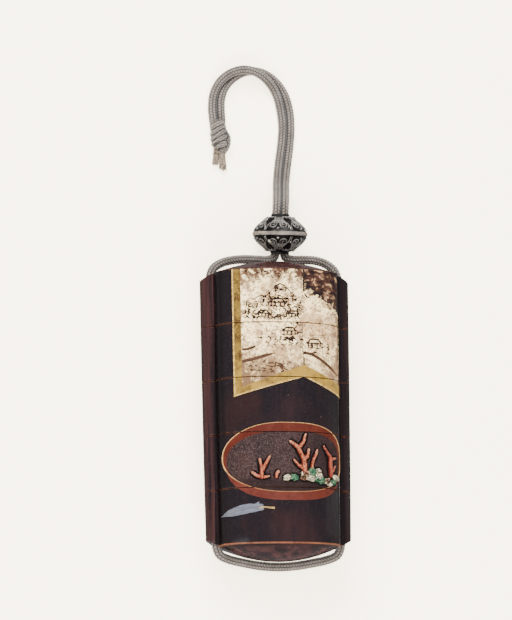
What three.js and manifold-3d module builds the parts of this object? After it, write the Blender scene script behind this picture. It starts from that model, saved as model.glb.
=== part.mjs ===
// Inro: a lid and four nesting compartments strung on one silk cord with a slide bead.
//
// Millimetres, +Z up. The inro lies on its back: X runs across it, Y along it with the bead and the
// knot towards +Y, and its decorated front looks up. The origin is on the surface that it lies on,
// under the middle of the case. The case is drawn upright, front towards -Y, and is then laid down.

import * as THREE from 'three';
import { mergeVertices } from 'three/addons/utils/BufferGeometryUtils.js';
import Module from 'manifold-3d';

const wasm = await Module();
wasm.setup();

// ---- Driving dimensions of the case -----------------------------------------------------------

const PIECE_HEIGHT = 17.5; // the lid and each compartment, from edge to edge
const PIECE_COUNT = 5; // the lid and four compartments
const CASE_TOP = (PIECE_HEIGHT * PIECE_COUNT) / 2; // the lid's end edge, from mid-height
const JOINT_GAP = 0.3; // the fine line between two pieces

const CURVE_HALF_WIDTH = 21.2; // the curve that front and back follow, in plan
const CURVE_HALF_DEPTH = 13.1;
const CURVE_POWER = 2.3; // 2 would be an ellipse
const FRONT_EDGE = 19.2; // where the curve stops and the strip beside the riser starts
const REST_DEPTH = 12.85; // the back is eased flat here, so that it lies steady
const CURVE_STEPS = 8; // facets in each half of the front
const NARROWING = 0.0414; // share of its width that the case loses from top to bottom

const RISER_X = 20.85;
const RISER_RADIUS = 3.4;
const RISER_START = 1.73; // radians round from the outside to where the strip meets the riser
const RISER_STEPS = 8;
const CHANNEL_RADIUS = 1.7;

const DOME_RISE = 4.5; // bulge of each end past its edge
const DOME_REACH = 20; // half-width at which the arched end is back at its edge
const DOME_WALL = 2.2;

const DOME_GRID = [16, 8]; // facets across and through a domed end
const DOME_INSIDE_GRID = [10, 6];

const WALL = 2.4;
const CAVITY_EDGE = 17; // flat sides of the inside, clear of the cord channels
const LIP_WALL = 1.1;
const LIP_HEIGHT = 5;
const FIT = 0.3; // clearance between a lip and the socket over it
const FLOOR = 1.6;
const CAVITY_STEPS = 6;
const SPARE = 2; // how far a cutting block runs past what it cuts

// ---- Driving dimensions of the cord and bead --------------------------------------------------

const CORD_DIAMETER = 2.5;
const CORD_SIDES = 8;

const BEAD_RADIUS = 8.7;
const BEAD_HALF_HEIGHT = 6;
const BEAD_BAND = 0.95; // half the height of the plain band round its middle
const BEAD_WALL = 0.8;
const BEAD_SHOULDER = [[8.2, 1.15], [6.7, 3.8], [3.9, 5.1]]; // radius and height, band to collar
const BEAD_BORE = 2.66;
const BEAD_COLLAR_WALL = 0.5;
const BEAD_COLLAR_FOOT = 5.2;
const BEAD_BORE_END = 4.4; // where the bore opens into the hollow of the bead
const BEAD_SIDES = 24;
const BEAD_TILT = THREE.MathUtils.degToRad(10);
const BEAD_CENTRE = new THREE.Vector3(3, 58.6, 8.85);
const BEAD_MOTIFS = 6;
const BEAD_TURN = THREE.MathUtils.degToRad(15); // of its openings, about the cord

const KNOT_CENTRE = new THREE.Vector3(-15.6, 92.3, 2.75);
const KNOT_CORE = [2.34, 4.42, 2.34]; // half sizes
const KNOT_FLATTENING = 0.62; // height of each turn of cord against its width
const KNOT_SWELL = 1.15; // how far each turn spreads along the knot
const KNOT_TURNS = [
  { along: 2.1, radius: 1.75, tilt: -0.35, shift: -0.3 },
  { along: -0.3, radius: 1.95, tilt: -0.5, shift: 0.2 },
  { along: -2.3, radius: 1.6, tilt: 0.5, shift: 0.5 },
];
const KNOT_NECKS = [-1.6, 1.1]; // where the tails run in, beside the knot's middle
const FRAYED_ENDS = [{ x: -1.8, lean: 0.02, length: 6.2 }, { x: 1, lean: 0.1, length: 7.6 }];
const FRAYED_RADII = [1, 1.45]; // at the knot and at the loose end

// ---- Materials --------------------------------------------------------------------------------

function finish(color, roughness, metalness = 0) {
  return new THREE.MeshStandardMaterial({ color, roughness, metalness });
}

const LACQUER = finish(0x43302f, 0.3);
const SILVER = finish(0x9b958f, 0.38, 0.9);
const SILK = finish(0x9a8f87, 0.9);
const CORAL = finish(0xc0583f, 0.4);
const STONE = finish(0x8fae95, 0.45);

// ---- Solids -----------------------------------------------------------------------------------

/** A closed three.js geometry as a manifold solid. */
function solid(geometry) {
  const bare = geometry.clone();
  bare.deleteAttribute('normal');
  bare.deleteAttribute('uv');
  const merged = mergeVertices(bare, 1e-4);
  return new wasm.Manifold(new wasm.Mesh({
    numProp: 3,
    vertProperties: new Float32Array(merged.attributes.position.array),
    triVerts: new Uint32Array(merged.index.array),
  }));
}

/** A manifold solid as a three.js geometry, with each vertex passed through `place`. */
function geometryOf(body, place) {
  const { vertProperties, triVerts } = body.getMesh();
  const geometry = new THREE.BufferGeometry();
  geometry.setAttribute('position', new THREE.BufferAttribute(vertProperties, 3));
  geometry.setIndex(new THREE.BufferAttribute(triVerts, 1));
  const point = new THREE.Vector3();
  const position = geometry.attributes.position;
  for (let i = 0; i < position.count; i += 1) {
    place(point.fromBufferAttribute(position, i));
    position.setXYZ(i, point.x, point.y, point.z);
  }
  geometry.computeVertexNormals();
  return geometry;
}

function joined(bodies) {
  return bodies.reduce((sum, body) => sum.add(body));
}

/** A plan outline carried straight up from z0 to z1. */
function prism(shape, z0, z1) {
  const geometry = new THREE.ExtrudeGeometry(shape, { depth: z1 - z0, bevelEnabled: false });
  return solid(geometry.translate(0, 0, z0));
}

// ---- The case's section -----------------------------------------------------------------------

/** How deep the front or back curve lies at x, moved in by `inset`. */
function curveDepth(x, inset = 0) {
  const across = Math.abs(x) / (CURVE_HALF_WIDTH - inset);
  return (CURVE_HALF_DEPTH - inset) * (1 - across ** CURVE_POWER) ** (1 / CURVE_POWER);
}

/** Points along the front curve from -edge to +edge, closer together where it turns. */
function curvePoints(edge, inset, steps) {
  const points = [];
  for (let i = -steps; i <= steps; i += 1) {
    const x = edge * Math.sin((Math.PI / 2) * (i / steps));
    points.push(new THREE.Vector2(x, -curveDepth(x, inset)));
  }
  return points;
}

/** Outline of the case: curved front and back, slanted strips, and a round riser on each side. */
function caseOutline(grow = 0) {
  const front = curvePoints(FRONT_EDGE + grow / 2, -grow, CURVE_STEPS);
  const riser = [];
  for (let i = 0; i <= RISER_STEPS; i += 1) {
    const angle = RISER_START * ((2 * i) / RISER_STEPS - 1);
    const radius = RISER_RADIUS + grow;
    riser.push(new THREE.Vector2(RISER_X + radius * Math.cos(angle), radius * Math.sin(angle)));
  }
  const half = [...front, ...riser];
  const turned = half.map((p) => new THREE.Vector2(-p.x, -p.y));
  const flat = REST_DEPTH + grow;
  return new THREE.Shape([...half, ...turned].map((p) => p.setY(Math.min(p.y, flat))));
}

/** Outline of the inside, moved out by `grow` for a lip or a socket round it. */
function cavityOutline(grow = 0) {
  const front = curvePoints(CAVITY_EDGE + grow, WALL - grow, CAVITY_STEPS);
  const back = front.map((p) => new THREE.Vector2(-p.x, -p.y));
  return new THREE.Shape([...front, ...back]);
}

// ---- The domed ends ---------------------------------------------------------------------------

/** Height of a domed end over its edge plane. */
function domeHeight(x, y) {
  const arch = DOME_RISE * (1 - (x / DOME_REACH) ** 2);
  if (arch <= 0) return arch;
  return arch * (1 - (y / curveDepth(x)) ** 2);
}

/** A block under the upper domed end, lowered by `drop`; a case section cuts it to size. */
function domeBlock(z0, drop, [columns, rows]) {
  const width = 2 * (RISER_X + RISER_RADIUS + SPARE);
  const depth = 2 * (CURVE_HALF_DEPTH + SPARE);
  const geometry = new THREE.BoxGeometry(width, depth, 1, columns, rows, 1);
  const position = geometry.attributes.position;
  for (let i = 0; i < position.count; i += 1) {
    const top = CASE_TOP - drop + domeHeight(position.getX(i), position.getY(i));
    position.setZ(i, position.getZ(i) > 0 ? top : z0);
  }
  return solid(geometry);
}

/** Turned half round about X, which sends the top end to the bottom. */
function turnedOver(body) {
  return solid(geometryOf(body, (p) => p.set(p.x, -p.y, -p.z)));
}

// ---- The case's pieces, upright and before they narrow ------------------------------------------

function cordChannels() {
  const length = 2 * (CASE_TOP + DOME_RISE + SPARE);
  return joined([-1, 1].map((side) => {
    const bore = new THREE.CylinderGeometry(CHANNEL_RADIUS, CHANNEL_RADIUS, length, 12);
    return solid(bore.rotateX(Math.PI / 2).translate(side * RISER_X, 0, 0));
  }));
}

/** The socket that takes the lip of the piece below, for a piece whose lower edge is at `bottom`. */
function socket(bottom) {
  return prism(cavityOutline(LIP_WALL + FIT), bottom - SPARE, bottom + LIP_HEIGHT + FIT);
}

function lid() {
  const bottom = CASE_TOP - PIECE_HEIGHT + JOINT_GAP / 2;
  const outside = prism(caseOutline(), bottom, CASE_TOP + DOME_RISE + SPARE)
    .intersect(domeBlock(bottom - SPARE, 0, DOME_GRID));
  const inside = prism(cavityOutline(), bottom, CASE_TOP + DOME_RISE)
    .intersect(domeBlock(bottom - SPARE, DOME_WALL, DOME_INSIDE_GRID));
  return outside.subtract(socket(bottom)).subtract(inside).subtract(cordChannels());
}

/** The lip round a compartment's mouth, which stands up into the piece above. */
function lip(top) {
  return prism(cavityOutline(LIP_WALL), top - FLOOR, top + LIP_HEIGHT - JOINT_GAP);
}

function middleCompartment(index) {
  const top = CASE_TOP - PIECE_HEIGHT * index - JOINT_GAP / 2;
  const bottom = top - PIECE_HEIGHT + JOINT_GAP;
  const floorTop = bottom + LIP_HEIGHT + FIT + FLOOR;
  return prism(caseOutline(), bottom, top)
    .add(lip(top))
    .subtract(socket(bottom))
    .subtract(prism(cavityOutline(), floorTop, top + LIP_HEIGHT + SPARE))
    .subtract(cordChannels());
}

function bottomCompartment() {
  const top = -CASE_TOP + PIECE_HEIGHT - JOINT_GAP / 2;
  const outside = prism(caseOutline(), -CASE_TOP - DOME_RISE - SPARE, top)
    .intersect(turnedOver(domeBlock(-top - SPARE, 0, DOME_GRID)));
  const inside = prism(cavityOutline(), -CASE_TOP - DOME_RISE, top + LIP_HEIGHT + SPARE)
    .intersect(turnedOver(domeBlock(-top - LIP_HEIGHT - SPARE, DOME_WALL, DOME_INSIDE_GRID)));
  return outside.add(lip(top)).subtract(inside).subtract(cordChannels());
}

// ---- Coral and stones set on the third compartment ---------------------------------------------

/** How far the front's face is turned to the side at x, as an angle about the upright. */
function frontTurn(x) {
  const step = 0.05;
  return Math.atan2(curveDepth(x - step) - curveDepth(x + step), 2 * step);
}

/** A point on the front at (x, z), lifted square off it by `lift`. */
function onFront(x, z, lift) {
  const turn = frontTurn(x);
  return new THREE.Vector3(
    x + lift * Math.sin(turn),
    -curveDepth(x) - lift * Math.cos(turn),
    z,
  );
}

/** A twig that narrows from one point of the front to the next; stops are [x, z, radius]. */
function branch(stops) {
  const parts = [];
  stops.forEach(([x, z, radius], i) => {
    const here = onFront(x, z, radius * 0.35);
    parts.push(solid(new THREE.SphereGeometry(radius, 5, 3).translate(here.x, here.y, here.z)));
    if (i === 0) return;
    const [x0, z0, radius0] = stops[i - 1];
    const before = onFront(x0, z0, radius0 * 0.35);
    const along = here.clone().sub(before);
    const turn = new THREE.Quaternion()
      .setFromUnitVectors(new THREE.Vector3(0, 1, 0), along.clone().normalize());
    const length = along.length();
    const rod = new THREE.CylinderGeometry(radius * 0.98, radius0 * 0.98, length, 5);
    const middle = before.add(here).multiplyScalar(0.5);
    parts.push(solid(rod.applyQuaternion(turn).translate(middle.x, middle.y, middle.z)));
  });
  return joined(parts);
}

/** A pebble on the front at (x, z), `wide` by `high` across. */
function pebble([x, z, wide, high, spin]) {
  const stone = new THREE.IcosahedronGeometry(1, 1);
  stone.scale(wide / 2, 0.8, high / 2).rotateY(spin).rotateZ(frontTurn(x));
  const at = onFront(x, z, 0.35);
  return solid(stone.translate(at.x, at.y, at.z));
}

/** What is set on the front, with its underside cut to sit just off the case. */
function setOnFront(body) {
  return body.subtract(prism(caseOutline(JOINT_GAP), -CASE_TOP, CASE_TOP));
}

const CORAL_PIECES = {
  coral_sprig: [
    [[-7.6, -23.2, 0.75], [-7.6, -20.4, 0.6], [-8.1, -17.6, 0.4]],
    [[-7.5, -21.4, 0.55], [-6.2, -18.9, 0.5], [-5, -16.8, 0.4]],
    [[-7.8, -23.1, 0.6], [-9.2, -22.6, 0.5], [-10.4, -21.6, 0.4]],
  ],
  coral_stub: [[[-3, -23.1, 0.6], [-2.3, -21.4, 0.5]]],
  coral_branch: [
    [[6.2, -20.5, 0.9], [6, -18.1, 0.85], [5, -15.4, 0.75], [4, -13.6, 0.75], [1.8, -11.9, 0.5]],
    [[4.3, -14, 0.7], [6, -12.1, 0.55], [6.9, -9.7, 0.35]],
    [[6, -17.4, 0.7], [7.3, -16.2, 0.55], [7.8, -14.4, 0.45]],
    [[5.9, -20.2, 0.7], [4.2, -19.2, 0.5], [3, -17.7, 0.4]],
  ],
  coral_twig: [[[8.9, -19.2, 0.55], [9.5, -17.2, 0.5], [10.7, -14.5, 0.4]]],
  coral_fork: [
    [[15.3, -21.6, 0.75], [15.2, -18.9, 0.7], [15.2, -16.6, 0.6], [13.2, -13.3, 0.35]],
    [[15.3, -17.6, 0.5], [17.2, -16.5, 0.35]],
    [[15.9, -20.9, 0.5], [17.1, -19.2, 0.35]],
  ],
};

/** Stones at the foot of the coral: x, z, width, height and turn of each. */
const STONE_PIECES = {
  stones_left: [[0.7, -23.4, 2.8, 1.7, 0.2], [2.9, -23.3, 2.8, 2, -0.2]],
  stones_middle: [
    [6.4, -23.1, 3, 2.4, 0.1], [8.9, -21.6, 2.7, 2.9, 0], [8.5, -23.5, 3, 2, 0],
    [11.2, -22, 2.8, 3.4, -0.4], [12, -24, 2.2, 2.4, 0.3],
  ],
  stones_right: [
    [14.3, -24.3, 2.6, 2.2, 0.3], [16, -24.3, 2.6, 1.9, 0], [17.5, -23.3, 2.2, 2.8, 0.1],
  ],
};

// ---- Laying the case down ---------------------------------------------------------------------

/** The case narrows a little towards its bottom end, faster near that end. */
function narrow(point) {
  const down = (CASE_TOP - point.z) / (2 * CASE_TOP);
  return point.setX(point.x * (1 - (NARROWING / 2) * (down + down * down)));
}

function caseMesh(name, body, material) {
  const mesh = new THREE.Mesh(geometryOf(body, narrow), material);
  mesh.name = name;
  return mesh;
}

function caseGroup() {
  const group = new THREE.Group();
  group.add(caseMesh('lid', lid(), LACQUER));
  for (let index = 1; index <= 3; index += 1) {
    group.add(caseMesh(`case_${index}`, middleCompartment(index), LACQUER));
  }
  group.add(caseMesh('case_4', bottomCompartment(), LACQUER));
  for (const [name, branches] of Object.entries(CORAL_PIECES)) {
    group.add(caseMesh(name, setOnFront(joined(branches.map(branch))), CORAL));
  }
  for (const [name, pebbles] of Object.entries(STONE_PIECES)) {
    group.add(caseMesh(name, setOnFront(joined(pebbles.map(pebble))), STONE));
  }
  group.rotation.x = -Math.PI / 2;
  group.position.z = REST_DEPTH;
  return group;
}

// ---- The slide bead ---------------------------------------------------------------------------

/** The bead's upper half in profile, moved in by `inset`, with its shoulder in `steps`. */
function beadProfile(inset, steps) {
  const [foot, bulge, top] = BEAD_SHOULDER;
  const shoulder = new THREE.QuadraticBezierCurve(
    new THREE.Vector2(foot[0] - inset, foot[1]),
    new THREE.Vector2(bulge[0] - inset, bulge[1] - inset / 2),
    new THREE.Vector2(top[0] - inset / 4, top[1] - inset),
  );
  const band = new THREE.Vector2(BEAD_RADIUS - inset, BEAD_BAND);
  return [band, ...shoulder.getPoints(steps)];
}

/** One opening between two scrolls, cut straight out from the middle of the bead. */
function beadWindow(turn, side) {
  const arch = new THREE.Shape();
  arch.moveTo(-1.5, 1.5);
  arch.lineTo(1.5, 1.5);
  arch.quadraticCurveTo(1.3, 3.1, 0, 3.9);
  arch.quadraticCurveTo(-1.3, 3.1, -1.5, 1.5);
  const cut = new THREE.ExtrudeGeometry(arch, { depth: 6, bevelEnabled: false, curveSegments: 2 });
  cut.translate(0, 0, 3.6);
  if (side < 0) cut.rotateZ(Math.PI);
  return solid(cut.rotateY(turn));
}

function beadMesh() {
  const rim = BEAD_BORE + BEAD_COLLAR_WALL;
  const upper = [
    ...beadProfile(0, 3),
    new THREE.Vector2(rim, BEAD_COLLAR_FOOT),
    new THREE.Vector2(rim, BEAD_HALF_HEIGHT),
    new THREE.Vector2(BEAD_BORE, BEAD_HALF_HEIGHT),
    new THREE.Vector2(BEAD_BORE, BEAD_BORE_END),
    ...beadProfile(BEAD_WALL, 2).reverse(),
  ];
  const lower = upper.map((p) => new THREE.Vector2(p.x, -p.y)).reverse();
  let body = solid(new THREE.LatheGeometry([...upper, ...lower, upper[0]], BEAD_SIDES));
  for (let i = 0; i < BEAD_MOTIFS; i += 1) {
    const turn = BEAD_TURN + (2 * Math.PI * i) / BEAD_MOTIFS;
    body = body.subtract(beadWindow(turn, 1)).subtract(beadWindow(turn, -1));
  }
  const mesh = new THREE.Mesh(geometryOf(body, (p) => p), SILVER);
  mesh.name = 'ojime_bead';
  mesh.rotation.x = BEAD_TILT;
  mesh.position.copy(BEAD_CENTRE);
  return mesh;
}

// ---- The cord ---------------------------------------------------------------------------------

/** A smooth route that a tube follows with one step from each listed point to the next. */
class Route extends THREE.CatmullRomCurve3 {
  getPointAt(share) { return this.getPoint(share); }

  getTangentAt(share) { return this.getTangent(share); }
}

function cordMesh(name, route) {
  const section = new THREE.Shape();
  for (let i = 0; i < CORD_SIDES; i += 1) {
    const angle = (2 * Math.PI * (i + 0.5)) / CORD_SIDES;
    const x = (CORD_DIAMETER / 2) * Math.cos(angle);
    const y = (CORD_DIAMETER / 2) * Math.sin(angle);
    if (i === 0) section.moveTo(x, y);
    else section.lineTo(x, y);
  }
  const path = new Route(route.map((p) => new THREE.Vector3(...p)));
  const tube = new THREE.ExtrudeGeometry(section, {
    steps: route.length - 1,
    extrudePath: path,
  });
  const mesh = new THREE.Mesh(tube, SILK);
  mesh.name = name;
  return mesh;
}

/** Held by the case: from the bead down the left riser, under the end, up the right riser. */
const LOOP_ROUTE = [
  [1.68, 58.45, 8.82], [1.68, 55.4, 8.28], [1.62, 52.75, 7.8], [0.95, 50.95, 7.85],
  [-1.1, 49.95, 8.5], [-4.8, 49.75, 9.6], [-9.2, 49.55, 10.7], [-13.4, 48.95, 11.6],
  [-17, 47.8, 12.3], [-19.6, 46, 12.7], [-20.7, 43.7, 12.85],
  [-20.85, 41, 12.85], [-20.75, 20, 12.85], [-20.45, 0, 12.85], [-20.2, -20, 12.85],
  [-20.05, -41, 12.85],
  [-19.85, -43.9, 12.8], [-18.8, -46.1, 12.55], [-16.1, -47.4, 12], [-11, -48.5, 11.2],
  [-5.5, -49.35, 10.6], [0, -49.65, 10.4], [5.5, -49.35, 10.6], [11, -48.5, 11.2],
  [16.1, -47.4, 12], [18.8, -46.1, 12.55], [19.85, -43.9, 12.8],
  [20.05, -41, 12.85], [20.2, -20, 12.85], [20.45, 0, 12.85], [20.75, 20, 12.85],
  [20.85, 41, 12.85], [20.7, 43.7, 12.85], [19.7, 46.1, 12.7], [17.4, 48.1, 12.3],
  [14.2, 49.4, 11.6], [10.6, 49.85, 10.6], [7.2, 50.05, 9.2], [5.05, 50.95, 7.95],
  [4.38, 52.75, 7.8], [4.32, 55.4, 8.28], [4.32, 58.45, 8.82],
];

/** From the bead to the knot, over the other strand at the far bend. */
const UPPER_TAIL_ROUTE = [
  [1.68, 58.75, 8.88], [1.68, 64.6, 9.9], [1.9, 67.4, 9.9], [2.3, 70.4, 8.6], [2.8, 73.2, 6.3],
  [3.3, 76.2, 3.9], [3.9, 80, 2], [4.6, 85, 1.32], [5.5, 91, 1.3], [5.9, 97, 1.3],
  [5.3, 102.6, 1.35], [4, 107.2, 1.9], [1.5, 111, 3], [-2.2, 113.8, 4], [-6.7, 115, 4.1],
  [-11.3, 113.9, 3.7], [-15, 111, 2.7], [-17, 106.9, 1.7], [-17.5, 102.4, 1.3],
  [-17.2, 98.2, 1.3],
];

const LOWER_TAIL_ROUTE = [
  [4.32, 58.75, 8.88], [4.32, 64.6, 9.9], [4.5, 67.4, 9.9], [4.9, 70.4, 8.6], [5.4, 73.2, 6.3],
  [5.9, 76.2, 3.9], [6.6, 80, 2], [7.4, 85, 1.32], [8.2, 91, 1.3], [8.6, 97, 1.3],
  [8.1, 103.2, 1.3], [6.4, 108.4, 1.3], [3.2, 112.6, 1.3], [-1, 115, 1.3], [-5.6, 115.2, 1.3],
  [-9.8, 113.1, 1.3], [-12.9, 109.8, 1.3], [-14.5, 105.6, 1.3], [-14.7, 101.6, 1.3],
  [-14.5, 98.2, 1.3],
];

// ---- The knot ---------------------------------------------------------------------------------

/** One turn of cord round the knot, tilted across it; `along` is its place on the knot's length. */
function knotTurn({ along, radius, tilt, shift }) {
  const turn = new THREE.TorusGeometry(radius, CORD_DIAMETER / 2, 6, 10);
  turn.scale(1, KNOT_FLATTENING, KNOT_SWELL).rotateX(Math.PI / 2).rotateZ(tilt);
  return solid(turn.translate(shift, along, 0));
}

/** A short end that spreads a little where its strands have come loose. */
function frayedEnd({ x, lean, length }) {
  const end = new THREE.CylinderGeometry(...FRAYED_RADII, length, 7);
  end.translate(0, -length / 2, 0).rotateZ(lean);
  return solid(end.translate(x, -3.2, -1.15));
}

/** Where a tail runs into the knot. */
function knotNeck(x) {
  const neck = new THREE.CylinderGeometry(CORD_DIAMETER / 2, CORD_DIAMETER / 2, 4.2, 8);
  return solid(neck.rotateY(Math.PI / CORD_SIDES).translate(x, 3.5, -1.4));
}

function knotMesh() {
  const core = new THREE.SphereGeometry(1, 8, 6).scale(...KNOT_CORE);
  const body = joined([
    solid(core),
    ...KNOT_TURNS.map(knotTurn),
    ...KNOT_NECKS.map(knotNeck),
    ...FRAYED_ENDS.map(frayedEnd),
  ]);
  const mesh = new THREE.Mesh(geometryOf(body, (p) => p), SILK);
  mesh.name = 'cord_knot';
  mesh.position.copy(KNOT_CENTRE);
  return mesh;
}

// ---- The whole inro ---------------------------------------------------------------------------

const inro = new THREE.Group();
inro.name = 'inro';
inro.add(caseGroup());
inro.add(beadMesh());
inro.add(cordMesh('cord_loop', LOOP_ROUTE));
inro.add(cordMesh('cord_tail_upper', UPPER_TAIL_ROUTE));
inro.add(cordMesh('cord_tail_lower', LOWER_TAIL_ROUTE));
inro.add(knotMesh());

export default inro;
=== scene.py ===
"""Inro: lacquer compartments, a painted leaf and tray, coral, an openwork bead and a silk cord."""

import math
import random

import bmesh
import bpy
import numpy as np
from mathutils import Matrix, Vector
from mathutils.kdtree import KDTree


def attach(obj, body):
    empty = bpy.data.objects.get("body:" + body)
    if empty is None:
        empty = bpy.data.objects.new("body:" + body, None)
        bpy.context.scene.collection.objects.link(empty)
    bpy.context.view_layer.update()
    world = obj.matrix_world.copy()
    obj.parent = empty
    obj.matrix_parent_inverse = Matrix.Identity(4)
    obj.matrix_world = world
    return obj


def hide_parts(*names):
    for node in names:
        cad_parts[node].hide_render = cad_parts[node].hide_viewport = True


bl_info = {
    "name": "Inro Case",
    "version": (1, 0, 0),
    "blender": (4, 5, 0),
    "location": "3D View > Sidebar > Inro",
    "description": "Builds a lacquered inro with its painting, coral, bead and braided cord",
    "category": "Add Mesh",
}

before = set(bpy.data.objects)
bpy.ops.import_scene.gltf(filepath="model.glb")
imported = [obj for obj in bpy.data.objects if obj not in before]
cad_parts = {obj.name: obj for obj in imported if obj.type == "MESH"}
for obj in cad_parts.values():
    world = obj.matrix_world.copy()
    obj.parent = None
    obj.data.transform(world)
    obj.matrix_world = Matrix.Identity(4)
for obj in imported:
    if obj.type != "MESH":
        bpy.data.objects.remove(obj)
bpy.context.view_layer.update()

MM = 0.001

# The case, in mm: x runs across it, y along it towards the lid, z up from the floor it lies on
MID = 12.85  # height of its middle plane
END = 43.75  # from its middle to each end edge
PITCH = 17.5  # from one joint to the next
JOINTS = tuple(END - PITCH * index for index in range(1, 5))
GAP = 0.14  # open joint between two pieces
HALF_WIDTH = 21.2  # of the curve that the front and the back follow
HALF_DEPTH = 13.1
POWER = 2.3  # at 2 that curve would be an ellipse
FRONT_EDGE = 19.2  # where the front meets a riser
RISER_X = 20.85
RISER_RADIUS = 3.4
RISER_TURN = 1.73  # radians of the riser's arc to each side of its outermost line
CHANNEL_RADIUS = 1.7
NARROWING = 0.0414  # share of its width that the case loses from the lid to the far end
CAVITY_EDGE = 17.0
WALL = 2.4
LIP_WALL = 1.1
LIP_HEIGHT = 5.0
FIT = 0.3  # play between a lip and its socket
FLOOR = 1.6
DOME_RISE = 4.5
DOME_REACH = 20.0  # from the middle to where a dome's arch comes down to the edge
DOME_WALL = 2.2


class InroSettings(bpy.types.PropertyGroup):
    """Sizes and colours of the inro."""

    edge_round: bpy.props.FloatProperty(
        name="Edge round", description="Rounding of each compartment's edges",
        default=0.12 * MM, unit="LENGTH")
    cord_diameter: bpy.props.FloatProperty(
        name="Cord", description="Diameter of the silk cord", default=2.5 * MM, unit="LENGTH")
    stitch_length: bpy.props.FloatProperty(
        name="Stitch", description="Length of one stitch of the braid",
        default=0.95 * MM, unit="LENGTH")
    lacquer: bpy.props.FloatVectorProperty(
        name="Lacquer", description="Colour of the dark lacquer",
        default=(0.0045, 0.0032, 0.0042), size=3, subtype="COLOR")
    worn_lacquer: bpy.props.FloatVectorProperty(
        name="Worn lacquer", description="Colour where the lacquer is rubbed thin",
        default=(0.050, 0.019, 0.010), size=3, subtype="COLOR")
    red: bpy.props.FloatVectorProperty(
        name="Red", description="Colour of the painted tray's wall",
        default=(0.040, 0.0072, 0.0042), size=3, subtype="COLOR")
    gold: bpy.props.FloatVectorProperty(
        name="Gold", description="Colour of the gold border",
        default=(0.104, 0.063, 0.012), size=3, subtype="COLOR")
    silver_leaf: bpy.props.FloatVectorProperty(
        name="Pale ground", description="Colour of the picture's ground",
        default=(0.80, 0.60, 0.31), size=3, subtype="COLOR")
    silk: bpy.props.FloatVectorProperty(
        name="Silk", description="Colour of the silk cord",
        default=(0.134, 0.111, 0.097), size=3, subtype="COLOR")
    coral: bpy.props.FloatVectorProperty(
        name="Coral", description="Colour of the coral",
        default=(0.088, 0.0145, 0.006), size=3, subtype="COLOR")
    silver: bpy.props.FloatVectorProperty(
        name="Silver", description="Colour of the bead's silver",
        default=(0.62, 0.58, 0.54), size=3, subtype="COLOR")


def settings():
    """The sizes and colours that the panel shows."""
    return bpy.context.scene.inro


# ---- Working by hand in code --------------------------------------------------------------------


def deselect():
    """Object mode with nothing selected."""
    if bpy.context.object and bpy.context.object.mode != "OBJECT":
        bpy.ops.object.mode_set(mode="OBJECT")
    bpy.ops.object.select_all(action="DESELECT")


def pick(obj):
    """Makes obj the only selected object and the active one."""
    deselect()
    obj.select_set(True)
    bpy.context.view_layer.objects.active = obj
    return obj


def edit(obj, kind="FACE", action="DESELECT"):
    """Edit mode on obj with nothing selected, or with all of it where action is SELECT."""
    pick(obj)
    bpy.ops.object.mode_set(mode="EDIT")
    bpy.ops.mesh.select_mode(type=kind)
    bpy.ops.mesh.select_all(action=action)


def choose(obj, kind, test):
    """Selects the verts, edges or faces of obj that pass test, from edit mode."""
    bm = bmesh.from_edit_mesh(obj.data)
    for part in {"VERT": bm.verts, "EDGE": bm.edges, "FACE": bm.faces}[kind]:
        part.select = bool(test(part))
    bm.select_flush_mode()
    bmesh.update_edit_mesh(obj.data)


def done():
    """Back to object mode."""
    bpy.ops.object.mode_set(mode="OBJECT")


def points_of(obj):
    """The mesh's points as an array of rows."""
    flat = np.empty(len(obj.data.vertices) * 3)
    obj.data.vertices.foreach_get("co", flat)
    return flat.reshape(-1, 3)


def put_points(obj, points):
    """Moves the mesh's points to the rows of an array."""
    obj.data.vertices.foreach_set("co", np.asarray(points, float).ravel())
    obj.data.update()


def store(obj, name, values):
    """A number at each of obj's points, which its finish reads."""
    stored = obj.data.attributes.new(name, "FLOAT", "POINT")
    stored.data.foreach_set("value", values)


def apply_place(obj):
    """Puts obj's place, turn and size into its mesh."""
    pick(obj)
    bpy.ops.object.transform_apply(location=True, rotation=True, scale=True)


def settle(obj, name, material, nodes=(), smooth=None):
    """Names obj, leaves its place in its mesh and gives it its finish and its body."""
    apply_place(obj)
    if smooth is not None:
        bpy.ops.object.shade_smooth_by_angle(angle=math.radians(smooth))
    obj.name = name
    obj.data.name = name
    obj.data.materials.clear()
    obj.data.materials.append(material)
    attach(obj, "root")
    if nodes:
        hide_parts(*nodes)
    return obj


def modifier(obj, kind, **values):
    """Adds a modifier and applies it."""
    pick(obj)
    added = obj.modifiers.new(kind.title(), kind)
    for key, value in values.items():
        setattr(added, key, value)
    bpy.ops.object.modifier_apply(modifier=added.name)
    return obj


def join(objs):
    """Several objects as one, with the first one's name."""
    deselect()
    for obj in objs:
        obj.select_set(True)
    bpy.context.view_layer.objects.active = objs[0]
    bpy.ops.object.join()
    return bpy.context.object


def mesh_object(name, points, faces):
    """A new object from rows of points and faces, where a primitive is no start."""
    mesh = bpy.data.meshes.new(name)
    mesh.from_pydata([tuple(p) for p in points], [], faces)
    mesh.update()
    obj = bpy.data.objects.new(name, mesh)
    bpy.context.collection.objects.link(obj)
    return obj


# ---- Materials ----------------------------------------------------------------------------------


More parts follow.
